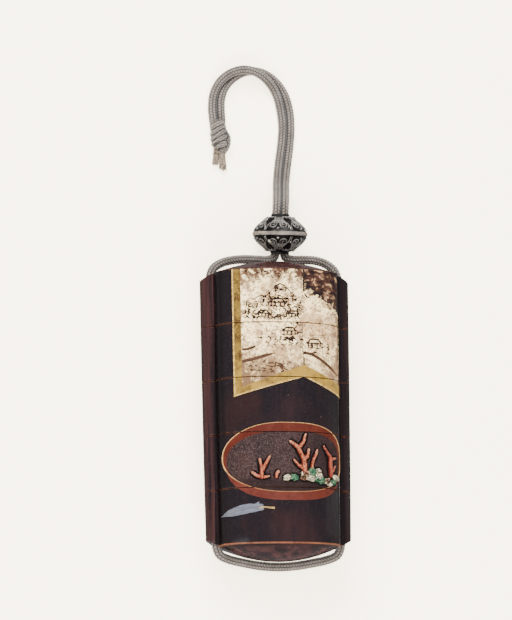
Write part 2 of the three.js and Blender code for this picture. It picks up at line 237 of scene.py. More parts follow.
class Finish:
    """A node material, built socket by socket. Its lengths are in metres, its colours linear."""

    def __init__(self, name, **surface):
        self.material = bpy.data.materials.new(name)
        self.material.use_nodes = True
        self.tree = self.material.node_tree
        self.shader = self.tree.nodes["Principled BSDF"]
        self.set(self.shader, surface)
        coords = self.tree.nodes.new("ShaderNodeTexCoord")
        self.place = coords.outputs["Object"]
        self.uv = coords.outputs["UV"]

    def set(self, node, values):
        """Links or fills sockets; an underscore in a socket's name stands for a space."""
        for key, value in values.items():
            socket = node.inputs[key.replace("_", " ") if isinstance(key, str) else key]
            if isinstance(value, bpy.types.NodeSocket):
                self.tree.links.new(value, socket)
            elif getattr(socket, "type", "") == "RGBA" and len(value) == 3:
                socket.default_value = (*value, 1.0)
            else:
                socket.default_value = value

    def look(self, tone, **surface):
        """Sets the shader's colour and other sockets, and gives the finished material."""
        self.set(self.shader, {"Base Color": tone, **surface})
        return self.material

    def node(self, kind, values=None, **traits):
        made = self.tree.nodes.new("ShaderNode" + kind)
        for key, value in traits.items():
            setattr(made, key, value)
        self.set(made, values or {})
        return made

    def scaled(self, scale, source=None, location=(0, 0, 0), rotation=(0, 0, 0)):
        values = {0: source or self.place, "Location": location, "Rotation": rotation,
                  "Scale": scale}
        return self.node("Mapping", values).outputs[0]

    def noise(self, vector, scale, detail=4.0, rough=0.55, distortion=0.0):
        values = {"Vector": vector, "Scale": scale, "Detail": detail, "Roughness": rough,
                  "Distortion": distortion}
        return self.node("TexNoise", values).outputs["Fac"]

    def long_noise(self, scale, detail=4.0, rough=0.55, distortion=0.0, **mapping):
        """Noise stretched by its own scale along each axis."""
        return self.noise(self.scaled(scale, **mapping), 1.0, detail, rough, distortion)

    def cells(self, scale):
        """Distance to the nearest of many scattered points."""
        values = {"Vector": self.place, "Scale": scale}
        return self.node("TexVoronoi", values, feature="F1").outputs["Distance"]

    def math(self, kind, a, b=0.0):
        return self.node("Math", {0: a, 1: b}, operation=kind).outputs[0]

    def times(self, a, b):
        return self.math("MULTIPLY", a, b)

    def plus(self, a, b):
        return self.math("ADD", a, b)

    def near(self, value, centre, outside, inside):
        """1 where value is within inside of centre, 0 where it is more than outside away."""
        gap = self.math("ABSOLUTE", self.math("SUBTRACT", value, centre))
        return self.span(gap, outside, inside)

    def span(self, value, low, high, to_low=0.0, to_high=1.0):
        """value's run from low to high, eased and held inside to_low..to_high."""
        values = {"Value": value, "From Min": low, "From Max": high, "To Min": to_low,
                  "To Max": to_high}
        return self.node("MapRange", values, interpolation_type="SMOOTHSTEP").outputs[0]

    def mix(self, share, a, b):
        made = self.node("Mix", data_type="RGBA", blend_type="MIX")
        self.set(made, {0: share, 6: a, 7: b})
        return made.outputs[2]

    def coats(self, tone, *coats):
        """tone under coats of colour, each given as its share and its colour."""
        for share, colour in coats:
            tone = self.mix(share, tone, colour)
        return tone

    def axes(self):
        return self.node("SeparateXYZ", {0: self.place}).outputs

    def attribute(self, name):
        return self.node("Attribute", attribute_name=name).outputs["Fac"]

    def bump(self, height, distance, strength=1.0):
        """A relief; distance in millimetres."""
        values = {"Height": height, "Distance": distance * MM, "Strength": strength}
        return self.node("Bump", values).outputs[0]


LACQUER_TONES = {
    "cloud": (0.0100, 0.0043, 0.0042),
    "long grain": (0.015, 0.0062, 0.0054),
    "speck": (0.0125, 0.0088, 0.0098),
    "rubbed": (0.0200, 0.0080, 0.0086),
    # painted sheen on the front's left half
    "band": (0.0120, 0.0058, 0.0066),
    # painted shade in the recess beside each riser
    "groove_shade": (0.0018, 0.0011, 0.0014),
    "streak": (0.0245, 0.0096, 0.0092),
    # painted shade on the right riser
    "right riser": (0.0034, 0.0017, 0.0018),
    "nick": (0.095, 0.080, 0.068),
    "end line": (0.115, 0.041, 0.019),
    # painted highlight along the front's right corner
    "painted corner highlight": (0.085, 0.075, 0.078),
    "lid dome": (0.024, 0.0088, 0.0082),
    "end dome": (0.030, 0.0125, 0.0125),
}
# Middle x and y, half width and half height of each place rubbed brown on the front, in metres
RUBBED_PLACES = (
    (0.004, -0.0395, 0.0125, 0.0085),
    (0.003, -0.0025, 0.0085, 0.0065),
    (0.001, -0.0048, 0.011, 0.0028),
)
JOINT_WEAR_REACH = 0.42 * MM


def joint_wear(f):
    """1 at the joints and at the case's end edges, 0 a little away from them."""
    turned = f.plus(f.axes()[1], (4 * PITCH - END) * MM)
    step = f.math("PINGPONG", turned, PITCH / 2 * MM)
    return f.span(step, 0.0, JOINT_WEAR_REACH, 1.0, 0.0)


def worn_patch(f, x, y, mid_x, mid_y, wide, high):
    """1 in the middle of an oval patch, fading to 0 at its edge."""
    across = f.math("DIVIDE", f.math("SUBTRACT", x, mid_x), wide)
    along = f.math("DIVIDE", f.math("SUBTRACT", y, mid_y), high)
    reach = f.plus(f.times(across, across), f.times(along, along))
    return f.span(reach, 1.0, 0.1)


def lacquer_ground(f, x, y, drift):
    """The lacquer away from its edges: clouds, long grain, specks, rubbed places and a painted
    sheen in pale bands on the front's left half.
    """
    clouds = f.long_noise((60, 30, 60), 3.0, 0.5, 0.6)
    long_grain = f.long_noise((1100, 45, 1100), 5.0, 0.6)
    specks = f.noise(f.place, 1500.0, 3.0, 0.7)
    rubbed = 0.0
    for place in RUBBED_PLACES:
        rubbed = f.math("MAXIMUM", worn_patch(f, x, y, *place), rubbed)
    rubbed = f.times(rubbed, f.span(drift, 0.30, 0.74))
    # Painted sheen: pale purple streaks running along the front's left half.
    bands = f.span(f.long_noise((150, 5, 40), 2.0, 0.45), 0.48, 0.66, 0.0, 0.35)
    return f.coats(
        tuple(settings().lacquer),
        (f.span(clouds, 0.5, 0.68), LACQUER_TONES["cloud"]),
        (f.span(long_grain, 0.5, 0.78, 0.0, 0.4), LACQUER_TONES["long grain"]),
        (f.span(specks, 0.50, 0.68, 0.0, 0.55), LACQUER_TONES["speck"]),
        (f.times(rubbed, 0.42), LACQUER_TONES["rubbed"]),
        (f.times(bands, f.span(x, -0.010, 0.001)), LACQUER_TONES["band"]))


def riser_coats(f, x):
    """Painted shade in the recess beside each riser, the risers' streaks, and painted shade on the
    right riser.
    """
    side = f.math("ABSOLUTE", x)
    # Painted shade: near black in the recess between the front's edge and each riser.
    groove_shade = f.times(f.span(side, 0.0172, 0.0192), f.span(side, 0.0214, 0.0204))
    streaks = f.long_noise((900, 22, 900), 4.0, 0.6)
    left = f.span(x, -0.0205, -0.0215, 0.0, 0.6)
    streaks = f.math("MAXIMUM", f.span(streaks, 0.49, 0.66),
                     f.times(left, f.span(streaks, 0.35, 0.55)))
    return ((f.times(groove_shade, 0.75), LACQUER_TONES["groove_shade"]),
            (f.times(f.span(side, 0.0196, 0.0210), streaks), LACQUER_TONES["streak"]),
            # Painted shade: the right riser darkened, as the side turned from the light.
            (f.span(x, 0.0194, 0.0202, 0.0, 0.5), LACQUER_TONES["right riser"]))


def edge_coats(f, x, y, drift, break_up):
    """Worn joints, small nicks, the far end's bright line and a painted highlight along the right
    corner.
    """
    wear = f.times(joint_wear(f), f.span(break_up, 0.32, 0.62))
    nicks = f.span(f.cells(190.0), 0.036, 0.018)
    end_line = f.times(f.near(y, -0.0436, 0.00036, 0.00008),
                       f.span(drift, 0.34, 0.60, 0.25, 1.0))
    # Painted highlight: a thin pale line along the front's right corner edge, where light glances
    # off it.
    down = f.math("DIVIDE", f.math("SUBTRACT", END * MM, y), 2 * END * MM)
    narrower = f.times(f.times(down, f.plus(down, 1.0)), -NARROWING / 2)
    corner = f.near(f.math("DIVIDE", x, f.plus(narrower, 1.0)), 0.01918, 0.00026, 0.00006)
    corner = f.times(corner, f.span(drift, 0.36, 0.56, 0.1, 0.8))
    corner = f.times(corner, f.span(y, 0.003, -0.012, 0.25, 1.0))
    return ((wear, tuple(settings().worn_lacquer)),
            (f.times(nicks, 0.6), LACQUER_TONES["nick"]),
            (end_line, LACQUER_TONES["end line"]),
            (corner, LACQUER_TONES["painted corner highlight"]))


def lacquer_finish():
    """Dark lacquer with faint long streaks, rubbed brown at the joints and in patches."""
    f = Finish("Lacquer", Specular_IOR_Level=0.35)
    x, y, _ = f.axes()
    drift = f.long_noise((330, 90, 330), 4.0, 0.6, 0.5)
    break_up = f.noise(f.place, 900.0, 4.0, 0.65)
    lid_dome = f.times(f.span(y, 0.0434, 0.0445), f.span(drift, 0.36, 0.58, 0.35, 1.0))
    end_dome = f.times(f.span(y, -0.0440, -0.0450), f.span(drift, 0.42, 0.60, 0.15, 0.95))
    tone = f.coats(
        lacquer_ground(f, x, y, drift), *riser_coats(f, x), *edge_coats(f, x, y, drift, break_up),
        (lid_dome, LACQUER_TONES["lid dome"]), (end_dome, LACQUER_TONES["end dome"]))
    return f.look(tone, Roughness=f.span(break_up, 0.3, 0.75, 0.13, 0.24),
                  Normal=f.bump(f.noise(f.place, 420.0, 3.0), 0.02, 0.5))


def gold_finish():
    """Gold powder, sprinkled and burnished, a little brown in the hollows."""
    f = Finish("Gold", Roughness=0.5, Specular_IOR_Level=0.2)
    hollow = (0.030, 0.014, 0.0048)
    bright, low_bright = (0.24, 0.150, 0.030), (0.200, 0.120, 0.019)
    grains = f.noise(f.place, 2300.0, 3.0, 0.7)
    patches = f.long_noise((260, 200, 260), 5.0, 0.7)
    y = f.axes()[1]
    low = f.times(f.span(y, 0.0155, 0.0125), f.span(patches, 0.34, 0.54, 0.3, 1.0))
    tone = f.coats(
        hollow,
        (f.span(patches, 0.42, 0.61), tuple(settings().gold)),
        (f.span(grains, 0.50, 0.68, 0.0, 0.7), bright),
        (f.times(low, 0.8), low_bright))
    return f.look(tone, Normal=f.bump(grains, 0.03, 0.6))


def gold_line_finish():
    """Fine gold lines: redder round the tray, browner on its near side."""
    f = Finish("Gold line", Roughness=0.42, Specular_IOR_Level=0.2)
    dull, bright, reddish, brown = ((0.17, 0.095, 0.026), (0.42, 0.29, 0.09),
                                    (0.235, 0.100, 0.058), (0.180, 0.070, 0.028))
    grains = f.noise(f.place, 1500.0, 3.0, 0.7)
    y = f.axes()[1]
    return f.look(f.coats(
        dull,
        (f.span(grains, 0.35, 0.7), bright),
        (f.span(y, 0.0, -0.0040, 0.0, 0.45), reddish),
        (f.span(y, -0.0215, -0.0262, 0.0, 0.8), brown)))


PICTURE_TONES = {
    "cloud": (0.40, 0.25, 0.120),
    "blot": (0.235, 0.140, 0.078),
    "grain": (0.080, 0.044, 0.024),
    "near water": (0.100, 0.055, 0.026),
    "right side": (0.12, 0.064, 0.038),
    "top": (0.045, 0.021, 0.012),
    "left side": (0.10, 0.055, 0.03),
    "bared brown": (0.036, 0.0155, 0.0100),
    "bared gold": (0.30, 0.185, 0.100),
}


def rubbed_corner(f, x, y):
    """How far the picture is rubbed through at its upper right, and the colour under it."""
    slope = f.plus(f.times(x, 0.62), y)
    aside = f.times(f.span(slope, 0.0385, 0.0470), f.span(x, 0.0062, 0.0074))
    torn = f.long_noise((330, 420, 330), 6.0, 0.72, 0.8, rotation=(0, 0, -0.5))
    rubbed = f.times(f.span(f.plus(torn, f.times(aside, 0.36)), 0.62, 0.70),
                     f.span(aside, 0.02, 0.25))
    bare = f.long_noise((300, 560, 300), 7.0, 0.75, 0.4, rotation=(0, 0, 0.55))
    under = f.coats(
        tuple(settings().lacquer),
        (f.span(bare, 0.45, 0.52), PICTURE_TONES["bared brown"]),
        (f.span(bare, 0.56, 0.61), PICTURE_TONES["bared gold"]))
    return rubbed, under


def picture_finish():
    """Pale silver ground, mottled, browned at the top and rubbed through at one corner."""
    f = Finish("Picture", Roughness=0.5, Specular_IOR_Level=0.15)
    x, y, _ = f.axes()
    clouds = f.long_noise((120, 95, 120), 5.0, 0.66, 0.4)
    blots = f.noise(f.place, 420.0, 5.0, 0.7, 0.3)
    grains = f.noise(f.place, 1300.0, 4.0, 0.75)
    water = f.times(f.span(y, 0.0215, 0.008), f.span(x, 0.004, -0.006, 0.65, 1.0))
    water = f.times(water, f.span(blots, 0.36, 0.49, 0.35, 1.0))
    right = f.times(f.span(x, 0.0135, 0.0190), f.span(blots, 0.40, 0.58, 0.1, 0.85))
    top = f.times(f.span(y, 0.0360, 0.0425), f.span(blots, 0.40, 0.55))
    left = f.times(f.span(x, -0.0110, -0.0128), f.span(blots, 0.40, 0.6))
    rubbed, under = rubbed_corner(f, x, y)
    tone = f.coats(
        tuple(settings().silver_leaf),
        (f.span(clouds, 0.44, 0.60), PICTURE_TONES["cloud"]),
        (f.span(blots, 0.47, 0.60, 0.0, 0.85), PICTURE_TONES["blot"]),
        (f.span(grains, 0.51, 0.60, 0.0, 0.85), PICTURE_TONES["grain"]),
        (water, PICTURE_TONES["near water"]), (right, PICTURE_TONES["right side"]),
        (top, PICTURE_TONES["top"]), (left, PICTURE_TONES["left side"]), (rubbed, under))
    return f.look(tone, Normal=f.bump(f.math("SUBTRACT", grains, rubbed), 0.03, 0.5))


def ink_finish():
    """Brown-black ink, thinner in the water lines."""
    f = Finish("Brush lines", Roughness=0.5, Specular_IOR_Level=0.1)
    grains = f.noise(f.place, 1700.0, 3.0, 0.7)
    washed = f.times(f.span(f.axes()[1], 0.0195, 0.0172),
                     f.span(grains, 0.36, 0.52, 0.35, 1.0))
    black, brown, wash = (0.0045, 0.003, 0.003), (0.030, 0.016, 0.010), (0.044, 0.0225, 0.0130)
    return f.look(f.coats(black, (f.span(grains, 0.38, 0.68), brown), (washed, wash)))


def tray_finish():
    """The tray's dark floor, sprinkled with fine brown and red powder."""
    f = Finish("Tray floor", Roughness=0.45, Specular_IOR_Level=0.1)
    dark, pale, powder = (0.0090, 0.0056, 0.0060), (0.0175, 0.0090, 0.0084), (0.052, 0.034, 0.031)
    near_edge, right_side = (0.0085, 0.0045, 0.0042), (0.0085, 0.0052, 0.0056)
    grains = f.noise(f.place, 2500.0, 3.0, 0.75)
    clouds = f.long_noise((130, 110, 130), 4.0, 0.6)
    x, y, _ = f.axes()
    tone = f.coats(
        dark,
        (f.span(clouds, 0.35, 0.7), pale),
        (f.span(grains, 0.50, 0.62, 0.0, 0.85), powder),
        (f.span(y, -0.0232, -0.0246, 0.0, 0.7), near_edge),
        (f.span(x, 0.0, 0.012, 0.0, 0.55), right_side))
    return f.look(tone, Normal=f.bump(grains, 0.04, 0.5))


def red_finish(name, dark, pale):
    """Red paint from dark to pale, worn to its ground in fine grains."""
    f = Finish(name, Roughness=0.42, Specular_IOR_Level=0.15)
    grains = f.noise(f.place, 1600.0, 3.0, 0.7)
    clouds = f.long_noise((190, 160, 190), 4.0, 0.6)
    tone = f.coats(
        dark,
        (f.span(clouds, 0.35, 0.7), pale),
        (f.span(grains, 0.52, 0.66, 0.0, 0.6), (0.016, 0.0045, 0.0035)))
    return f.look(tone, Normal=f.bump(grains, 0.02, 0.4))


def two_tone(name, grain, low, high, dark, pale, **surface):
    """A plain finish that runs from dark to pale where its grain runs from low to high."""
    f = Finish(name, **surface)
    return f.look(f.mix(f.span(grain(f), low, high), dark, pale))


def edge_and_shade_finish():
    """The near-black line that the inlays are set in, which also stands as painted shade round
    them.
    """
    return two_tone("Dark edge and painted shade", lambda f: f.noise(f.place, 1700.0, 3.0, 0.7), 0.4, 0.7,
                    (0.0014, 0.0011, 0.0013), (0.0045, 0.0032, 0.0034),
                    Roughness=0.4, Specular_IOR_Level=0.15)


def quill_finish():
    """Yellowed bone, grained across its length."""
    return two_tone("Quill", lambda f: f.long_noise((300, 2000, 300), 3.0, 0.6), 0.35, 0.7,
                    (0.14, 0.09, 0.03), (0.30, 0.21, 0.07), Roughness=0.35)


def fray_finish():
    """Loose silk threads, soiled in places."""
    return two_tone("Frayed silk", lambda f: f.noise(f.place, 1400.0, 2.0, 0.6), 0.35, 0.64,
                    (0.058, 0.044, 0.032), (0.205, 0.160, 0.118), Roughness=0.9)


def coral_finish():
    """Polished coral, paler at its tips, with a painted highlight along the tops of its branches
    and painted shade on their sides and in the forks.
    """
    f = Finish("Coral", Roughness=0.4, Specular_IOR_Level=0.35, Subsurface_Weight=0.12,
               Subsurface_Radius=(0.0008, 0.0002, 0.0001))
    patches = f.noise(f.place, 520.0, 4.0, 0.6)
    pits = f.noise(f.place, 1900.0, 3.0, 0.6)
    ridge = f.plus(f.attribute("ridge"), f.times(patches, 0.35))
    pale_patch, painted_ridge_highlight = (0.150, 0.034, 0.014), (0.300, 0.098, 0.048)
    pale_tip = (0.300, 0.135, 0.080)
    deep_red, painted_fork_shade, pit = (0.120, 0.0165, 0.0110), (0.020, 0.0030, 0.0022), (0.024, 0.0036, 0.0026)
    tone = f.coats(
        tuple(settings().coral),
        (f.span(patches, 0.4, 0.68), pale_patch),
        # Painted highlight: paler where a branch faces away from the front, on its top.
        (f.span(ridge, 0.98, 1.14, 0.0, 0.7), painted_ridge_highlight),
        (f.times(f.attribute("tip"), 0.8), pale_tip),
        (f.span(f.axes()[0], 0.0098, 0.0125, 0.0, 0.55), deep_red),
        # Painted shade: darker on the branches' sides and in their forks, where they face along
        # the front.
        (f.span(ridge, 0.92, 0.45, 0.0, 0.92), painted_fork_shade),
        (f.span(pits, 0.51, 0.62, 0.0, 0.85), pit))
    return f.look(tone, Normal=f.bump(pits, 0.06, 0.5))


def stone_finish():
    """Green, white and brown stones, each with veins and spots; their tone picks which."""
    f = Finish("Stones", Roughness=0.2)
    own = f.attribute("tone")
    veins = f.noise(f.place, 820.0, 5.0, 0.72, 1.4)
    spots = f.long_noise((1500, 1500, 1500), 4.0, 0.7, 0.6, location=(2, 5, 1))
    green = f.coats(
        (0.0038, 0.017, 0.0085),
        (f.span(veins, 0.42, 0.58), (0.026, 0.078, 0.040)),
        (f.span(spots, 0.57, 0.66), (0.150, 0.165, 0.085)),
        (f.span(spots, 0.42, 0.34), (0.0035, 0.0050, 0.0035)))
    white = f.coats(
        (0.40, 0.35, 0.235),
        (f.span(veins, 0.45, 0.55), (0.085, 0.068, 0.043)),
        (f.span(spots, 0.52, 0.60), (0.020, 0.013, 0.010)))
    brown = f.coats(
        (0.34, 0.245, 0.150),
        (f.span(veins, 0.43, 0.51), (0.045, 0.020, 0.010)),
        (f.span(spots, 0.50, 0.57), (0.0050, 0.0030, 0.0026)))
    tone = f.coats(green, (f.span(own, 0.45, 0.55), white), (f.span(own, 0.8, 0.85), brown))
    return f.look(tone, Normal=f.bump(veins, 0.08, 0.6))


def feather_finish():
    """Grey-blue pearl for the vane, with barbs that slant away from the shaft."""
    f = Finish("Feather", Roughness=0.4)
    barbs = f.long_noise((500, 2600, 500), 3.0, 0.6, rotation=(0, 0, 0.5))
    tone = f.mix(f.span(barbs, 0.35, 0.7), (0.044, 0.046, 0.058), (0.080, 0.083, 0.102))
    return f.look(tone, Normal=f.bump(barbs, 0.05, 0.5))


def silver_finish(name, low, high, metallic=0.85):
    """Silver that has darkened in patches, finely scratched."""
    f = Finish(name, Metallic=metallic)
    patches = f.noise(f.place, 420.0, 4.0, 0.65)
    scratches = f.long_noise((300, 5200, 300), 3.0, 0.6)
    return f.look(f.mix(f.span(patches, 0.35, 0.7), low, high),
                  Roughness=f.span(patches, 0.3, 0.7, 0.22, 0.36),
                  Normal=f.bump(scratches, 0.01, 0.4))


def silk_finish():
    """Braided silk with fine threads along each stitch, and painted shade between its stitches and
    where strands lie together.
    """
    f = Finish("Silk", Roughness=0.85, Sheen_Weight=0.25, Sheen_Roughness=0.5)
    soiled, thread, between = (0.082, 0.068, 0.055), (0.150, 0.130, 0.112), (0.012, 0.0095, 0.0080)
    threads = f.long_noise((60, 9000, 1), 3.0, 0.7, source=f.uv)
    soil = f.noise(f.place, 260.0, 3.0, 0.6)
    tone = f.coats(
        tuple(settings().silk),
        (f.span(soil, 0.35, 0.7), soiled),
        (f.span(threads, 0.4, 0.7, 0.0, 0.5), thread),
        # Painted shade: darker in the hollows between stitches and where strands touch, from the
        # depth attribute.
        (f.span(f.attribute("depth"), 0.30, 0.75, 0.0, 0.95), between))
    return f.look(tone, Normal=f.bump(threads, 0.05, 0.5))


# ---- The stage ----------------------------------------------------------------------------------


FLOOR_SIZE = 6.0
# Name, place, width, height and watts of each light; sizes and places in metres
KEY_LIGHTS = (
    ("key_far", (-0.35, 1.0, 0.95), 0.9, 0.7, 66),
    ("key_near", (-0.15, -1.05, 0.95), 0.9, 0.7, 60),
    ("key_top", (0.05, 0.03, 1.2), 0.9, 0.9, 20),
)
# These show only in reflections, and the keys only as light on the surfaces
GLEAMS = (
    ("gleam_right", (1.0, 0.1, 0.12), 0.04, 0.8, 0.08),
    ("gleam_left", (-0.85, -0.15, 0.8), 0.2, 0.7, 0.8),
    ("gleam_far", (0.1, 0.9, 0.75), 0.5, 0.1, 5),
    ("gleam_near", (-0.3, -0.8, 0.6), 0.4, 0.06, 2.5),
)
LIT_POINT = Vector((0, 0.02, 0.01))
SKY_COLOUR, SKY_STRENGTH = (0.95, 0.97, 1.0, 1.0), 0.3
CAMERA_PLACE = (-0.162656, -0.141033, 0.866857)
CAMERA_RIGHT = Vector((0.984046, -0.016092, 0.177186))
CAMERA_AHEAD = Vector((0.176874, 0.196059, -0.964508))
CAMERA_LENS, CAMERA_WIDTH = 194.29, 36.0  # both in mm


class INRO_OT_stage(bpy.types.Operator):
    """Floor, lights and camera"""

    bl_idname = "inro.stage"
    bl_label = "Stage"

    def execute(self, context):
        deselect()
        bpy.ops.mesh.primitive_grid_add(x_subdivisions=8, y_subdivisions=8, size=FLOOR_SIZE)
        floor = context.object
        floor.name = "floor"
        floor.data.materials.append(self.paper_finish())
        floor.visible_glossy = False

        world = bpy.data.worlds.new("Studio")
        context.scene.world = world
        world.use_nodes = True
        sky = world.node_tree.nodes["Background"]
        sky.inputs["Color"].default_value = SKY_COLOUR
        sky.inputs["Strength"].default_value = SKY_STRENGTH
        for row in KEY_LIGHTS:
            self.light(*row).visible_glossy = False
        for row in GLEAMS:
            self.light(*row).visible_diffuse = False

        camera = bpy.data.objects.new("camera", bpy.data.cameras.new("camera"))
        context.collection.objects.link(camera)
        above = CAMERA_RIGHT.cross(CAMERA_AHEAD)
        turn = Matrix((CAMERA_RIGHT, above, -CAMERA_AHEAD)).transposed().to_4x4()
        camera.matrix_world = Matrix.Translation(CAMERA_PLACE) @ turn
        camera.data.sensor_fit = "HORIZONTAL"
        camera.data.sensor_width = CAMERA_WIDTH
        camera.data.lens = CAMERA_LENS
        camera.data.clip_start = 0.01
        context.scene.camera = camera
        return {"FINISHED"}

    @staticmethod
    def paper_finish():
        f = Finish("Pale floor", Roughness=0.9, Specular_IOR_Level=0.1, Emission_Strength=3.2,
                   Emission_Color=(1.0, 0.9, 0.68))
        grain = f.span(f.noise(f.place, 30.0, 3.0), 0.3, 0.7)
        return f.look(f.mix(grain, (0.86, 0.765, 0.585), (0.87, 0.775, 0.595)))

    @staticmethod
    def light(name, place, wide, high, watts):
        """A rectangular light that faces the case."""
        data = bpy.data.lights.new(name, "AREA")
        data.shape = "RECTANGLE"
        data.size = wide
        data.size_y = high
        data.energy = watts
        lamp = bpy.data.objects.new(name, data)
        bpy.context.collection.objects.link(lamp)
        aim = LIT_POINT - Vector(place)
        turn = aim.to_track_quat("-Z", "Y").to_matrix().to_4x4()
        lamp.matrix_world = Matrix.Translation(place) @ turn
        return lamp


# ---- Cords --------------------------------------------------------------------------------------

# Routes in mm: up from the bead and round the case, and from the bead to the knot
LOOP_ROUTE = [
    (1.68, 58.45, 8.82), (1.68, 55.4, 8.28), (1.62, 52.75, 7.8), (0.95, 50.95, 7.85),
    (-1.1, 49.95, 8.5), (-4.8, 49.75, 9.6), (-9.2, 49.55, 10.7), (-13.4, 48.95, 11.6),
    (-17, 47.8, 12.3), (-19.6, 46, 12.7), (-20.7, 43.7, 12.85),
    (-20.85, 41, 12.85), (-20.75, 20, 12.85), (-20.45, 0, 12.85), (-20.2, -20, 12.85),
    (-20.05, -41, 12.85),
    (-19.85, -43.9, 12.8), (-18.8, -46.1, 12.55), (-16.1, -47.4, 12), (-11, -48.5, 11.2),
    (-5.5, -49.35, 10.6), (0, -49.65, 10.4), (5.5, -49.35, 10.6), (11, -48.5, 11.2),
    (16.1, -47.4, 12), (18.8, -46.1, 12.55), (19.85, -43.9, 12.8),
    (20.05, -41, 12.85), (20.2, -20, 12.85), (20.45, 0, 12.85), (20.75, 20, 12.85),
    (20.85, 41, 12.85), (20.7, 43.7, 12.85), (19.7, 46.1, 12.7), (17.4, 48.1, 12.3),
    (14.2, 49.4, 11.6), (10.6, 49.85, 10.6), (7.2, 50.05, 9.2), (5.05, 50.95, 7.95),
    (4.38, 52.75, 7.8), (4.32, 55.4, 8.28), (4.32, 58.45, 8.82),
]
UPPER_TAIL_ROUTE = [
    (1.68, 58.75, 8.88), (1.68, 64.6, 9.9), (1.9, 67.4, 9.9), (2.3, 70.4, 8.6), (2.8, 73.2, 6.3),
    (3.3, 76.2, 3.9), (3.9, 80, 2), (4.6, 85, 1.32), (5.5, 91, 1.3), (5.9, 97, 1.3),
    (5.3, 102.6, 1.35), (4, 107.2, 1.9), (1.5, 111, 3), (-2.2, 113.8, 4), (-6.7, 115, 4.1),
    (-11.3, 113.9, 3.7), (-15, 111, 2.7), (-17, 106.9, 1.7), (-17.5, 102.4, 1.3),
    (-17.2, 98.2, 1.3),
]
LOWER_TAIL_ROUTE = [
    (4.32, 58.75, 8.88), (4.32, 64.6, 9.9), (4.5, 67.4, 9.9), (4.9, 70.4, 8.6), (5.4, 73.2, 6.3),
    (5.9, 76.2, 3.9), (6.6, 80, 2), (7.4, 85, 1.32), (8.2, 91, 1.3), (8.6, 97, 1.3),
    (8.1, 103.2, 1.3), (6.4, 108.4, 1.3), (3.2, 112.6, 1.3), (-1, 115, 1.3), (-5.6, 115.2, 1.3),
    (-9.8, 113.1, 1.3), (-12.9, 109.8, 1.3), (-14.5, 105.6, 1.3), (-14.7, 101.6, 1.3),
    (-14.5, 98.2, 1.3),
]


def run_of(points):
    """Distance along a row of points, at each of them."""
    return np.concatenate([[0], np.cumsum(np.linalg.norm(np.diff(points, axis=0), axis=1))])


def resampled(points, run, at):
    """The row of points read off at other distances along it."""
    return np.stack([np.interp(at, run, column) for column in np.transpose(points)], axis=1)


def smooth_route(route, step):
    """Evenly spaced points, in metres, on a smooth curve through a route in millimetres."""
    p = np.array(route, float) * MM
    p = np.vstack([2 * p[0] - p[1], p, 2 * p[-1] - p[-2]])
    line = []
    for i in range(1, len(p) - 2):
        a, b, c, d = p[i - 1:i + 3]
        t = np.cumsum([0, *(np.linalg.norm(v - u) ** 0.5 for u, v in ((a, b), (b, c), (c, d)))])
        s = np.linspace(t[1], t[2], 16, endpoint=False)[:, None]

        def blend(u, v, lo, hi):
            return ((t[hi] - s) * u + (s - t[lo]) * v) / (t[hi] - t[lo])

        ab, bc, cd = blend(a, b, 0, 1), blend(b, c, 1, 2), blend(c, d, 2, 3)
        line.append(blend(blend(ab, bc, 0, 2), blend(bc, cd, 1, 3), 1, 2))
    line = np.vstack([*line, p[-2:-1]])
    run = run_of(line)
    even = np.linspace(0, run[-1], max(4, int(round(run[-1] / step)) + 1))
    return resampled(line, run, even), run[-1]


def frames_along(line):
    """A side and an upward direction at each point, carried along without twisting."""
    ahead = np.gradient(line, axis=0)
    ahead /= np.linalg.norm(ahead, axis=1)[:, None]
    side = np.array((0.0, 0.0, 1.0))
    sides = []
    for t in ahead:
        side = side - side.dot(t) * t
        side /= np.linalg.norm(side)
        sides.append(side)
    sides = np.array(sides)
    return sides, np.cross(ahead, sides)


def tube(name, line, reach, around, lowest=-np.inf):
    """A closed tube round line with a ring of points for each of line's, reach from it."""
    sides, ups = frames_along(line)
    angle = 2 * np.pi * np.arange(around) / around
    points = (line[:, None, :] + (reach * np.cos(angle))[..., None] * sides[:, None, :]
              + (reach * np.sin(angle))[..., None] * ups[:, None, :]).reshape(-1, 3)
    points[:, 2] = np.maximum(points[:, 2], lowest)
    faces = [(i * around + k, i * around + (k + 1) % around,
              (i + 1) * around + (k + 1) % around, (i + 1) * around + k)
             for i in range(len(line) - 1) for k in range(around)]
    faces.append(tuple(range(around))[::-1])
    faces.append(tuple(range((len(line) - 1) * around, len(line) * around)))
    return mesh_object(name, points, faces)


BRAID_COLUMNS = 8
BRAID_SLANT = 0.45  # share of a stitch that it leans across its column
BRAID_AROUND = 40  # points round a cord
BRAID_RELIEF = 0.24 * MM
BRAID_SWELL = 0.26 * MM  # from the cord's own radius to the tops of its stitches
FINE_STEP = 0.2 * MM  # from one ring of a cord to the next


def braid(share, run, stitch):
    """Depth of the braid's surface, 0 on a stitch and 1 between, at a share of the way round."""
    column = share * BRAID_COLUMNS
    within = column % 1.0
    odd = np.floor(column) % 2
    slant = np.where(odd == 0, within, 1 - within) * BRAID_SLANT
    along = (run / stitch + slant + 0.5 * odd) % 1.0
    rows = np.sin(np.pi * along) ** 0.8
    columns = np.sin(np.pi * within) ** 0.22
    return 1 - rows * columns


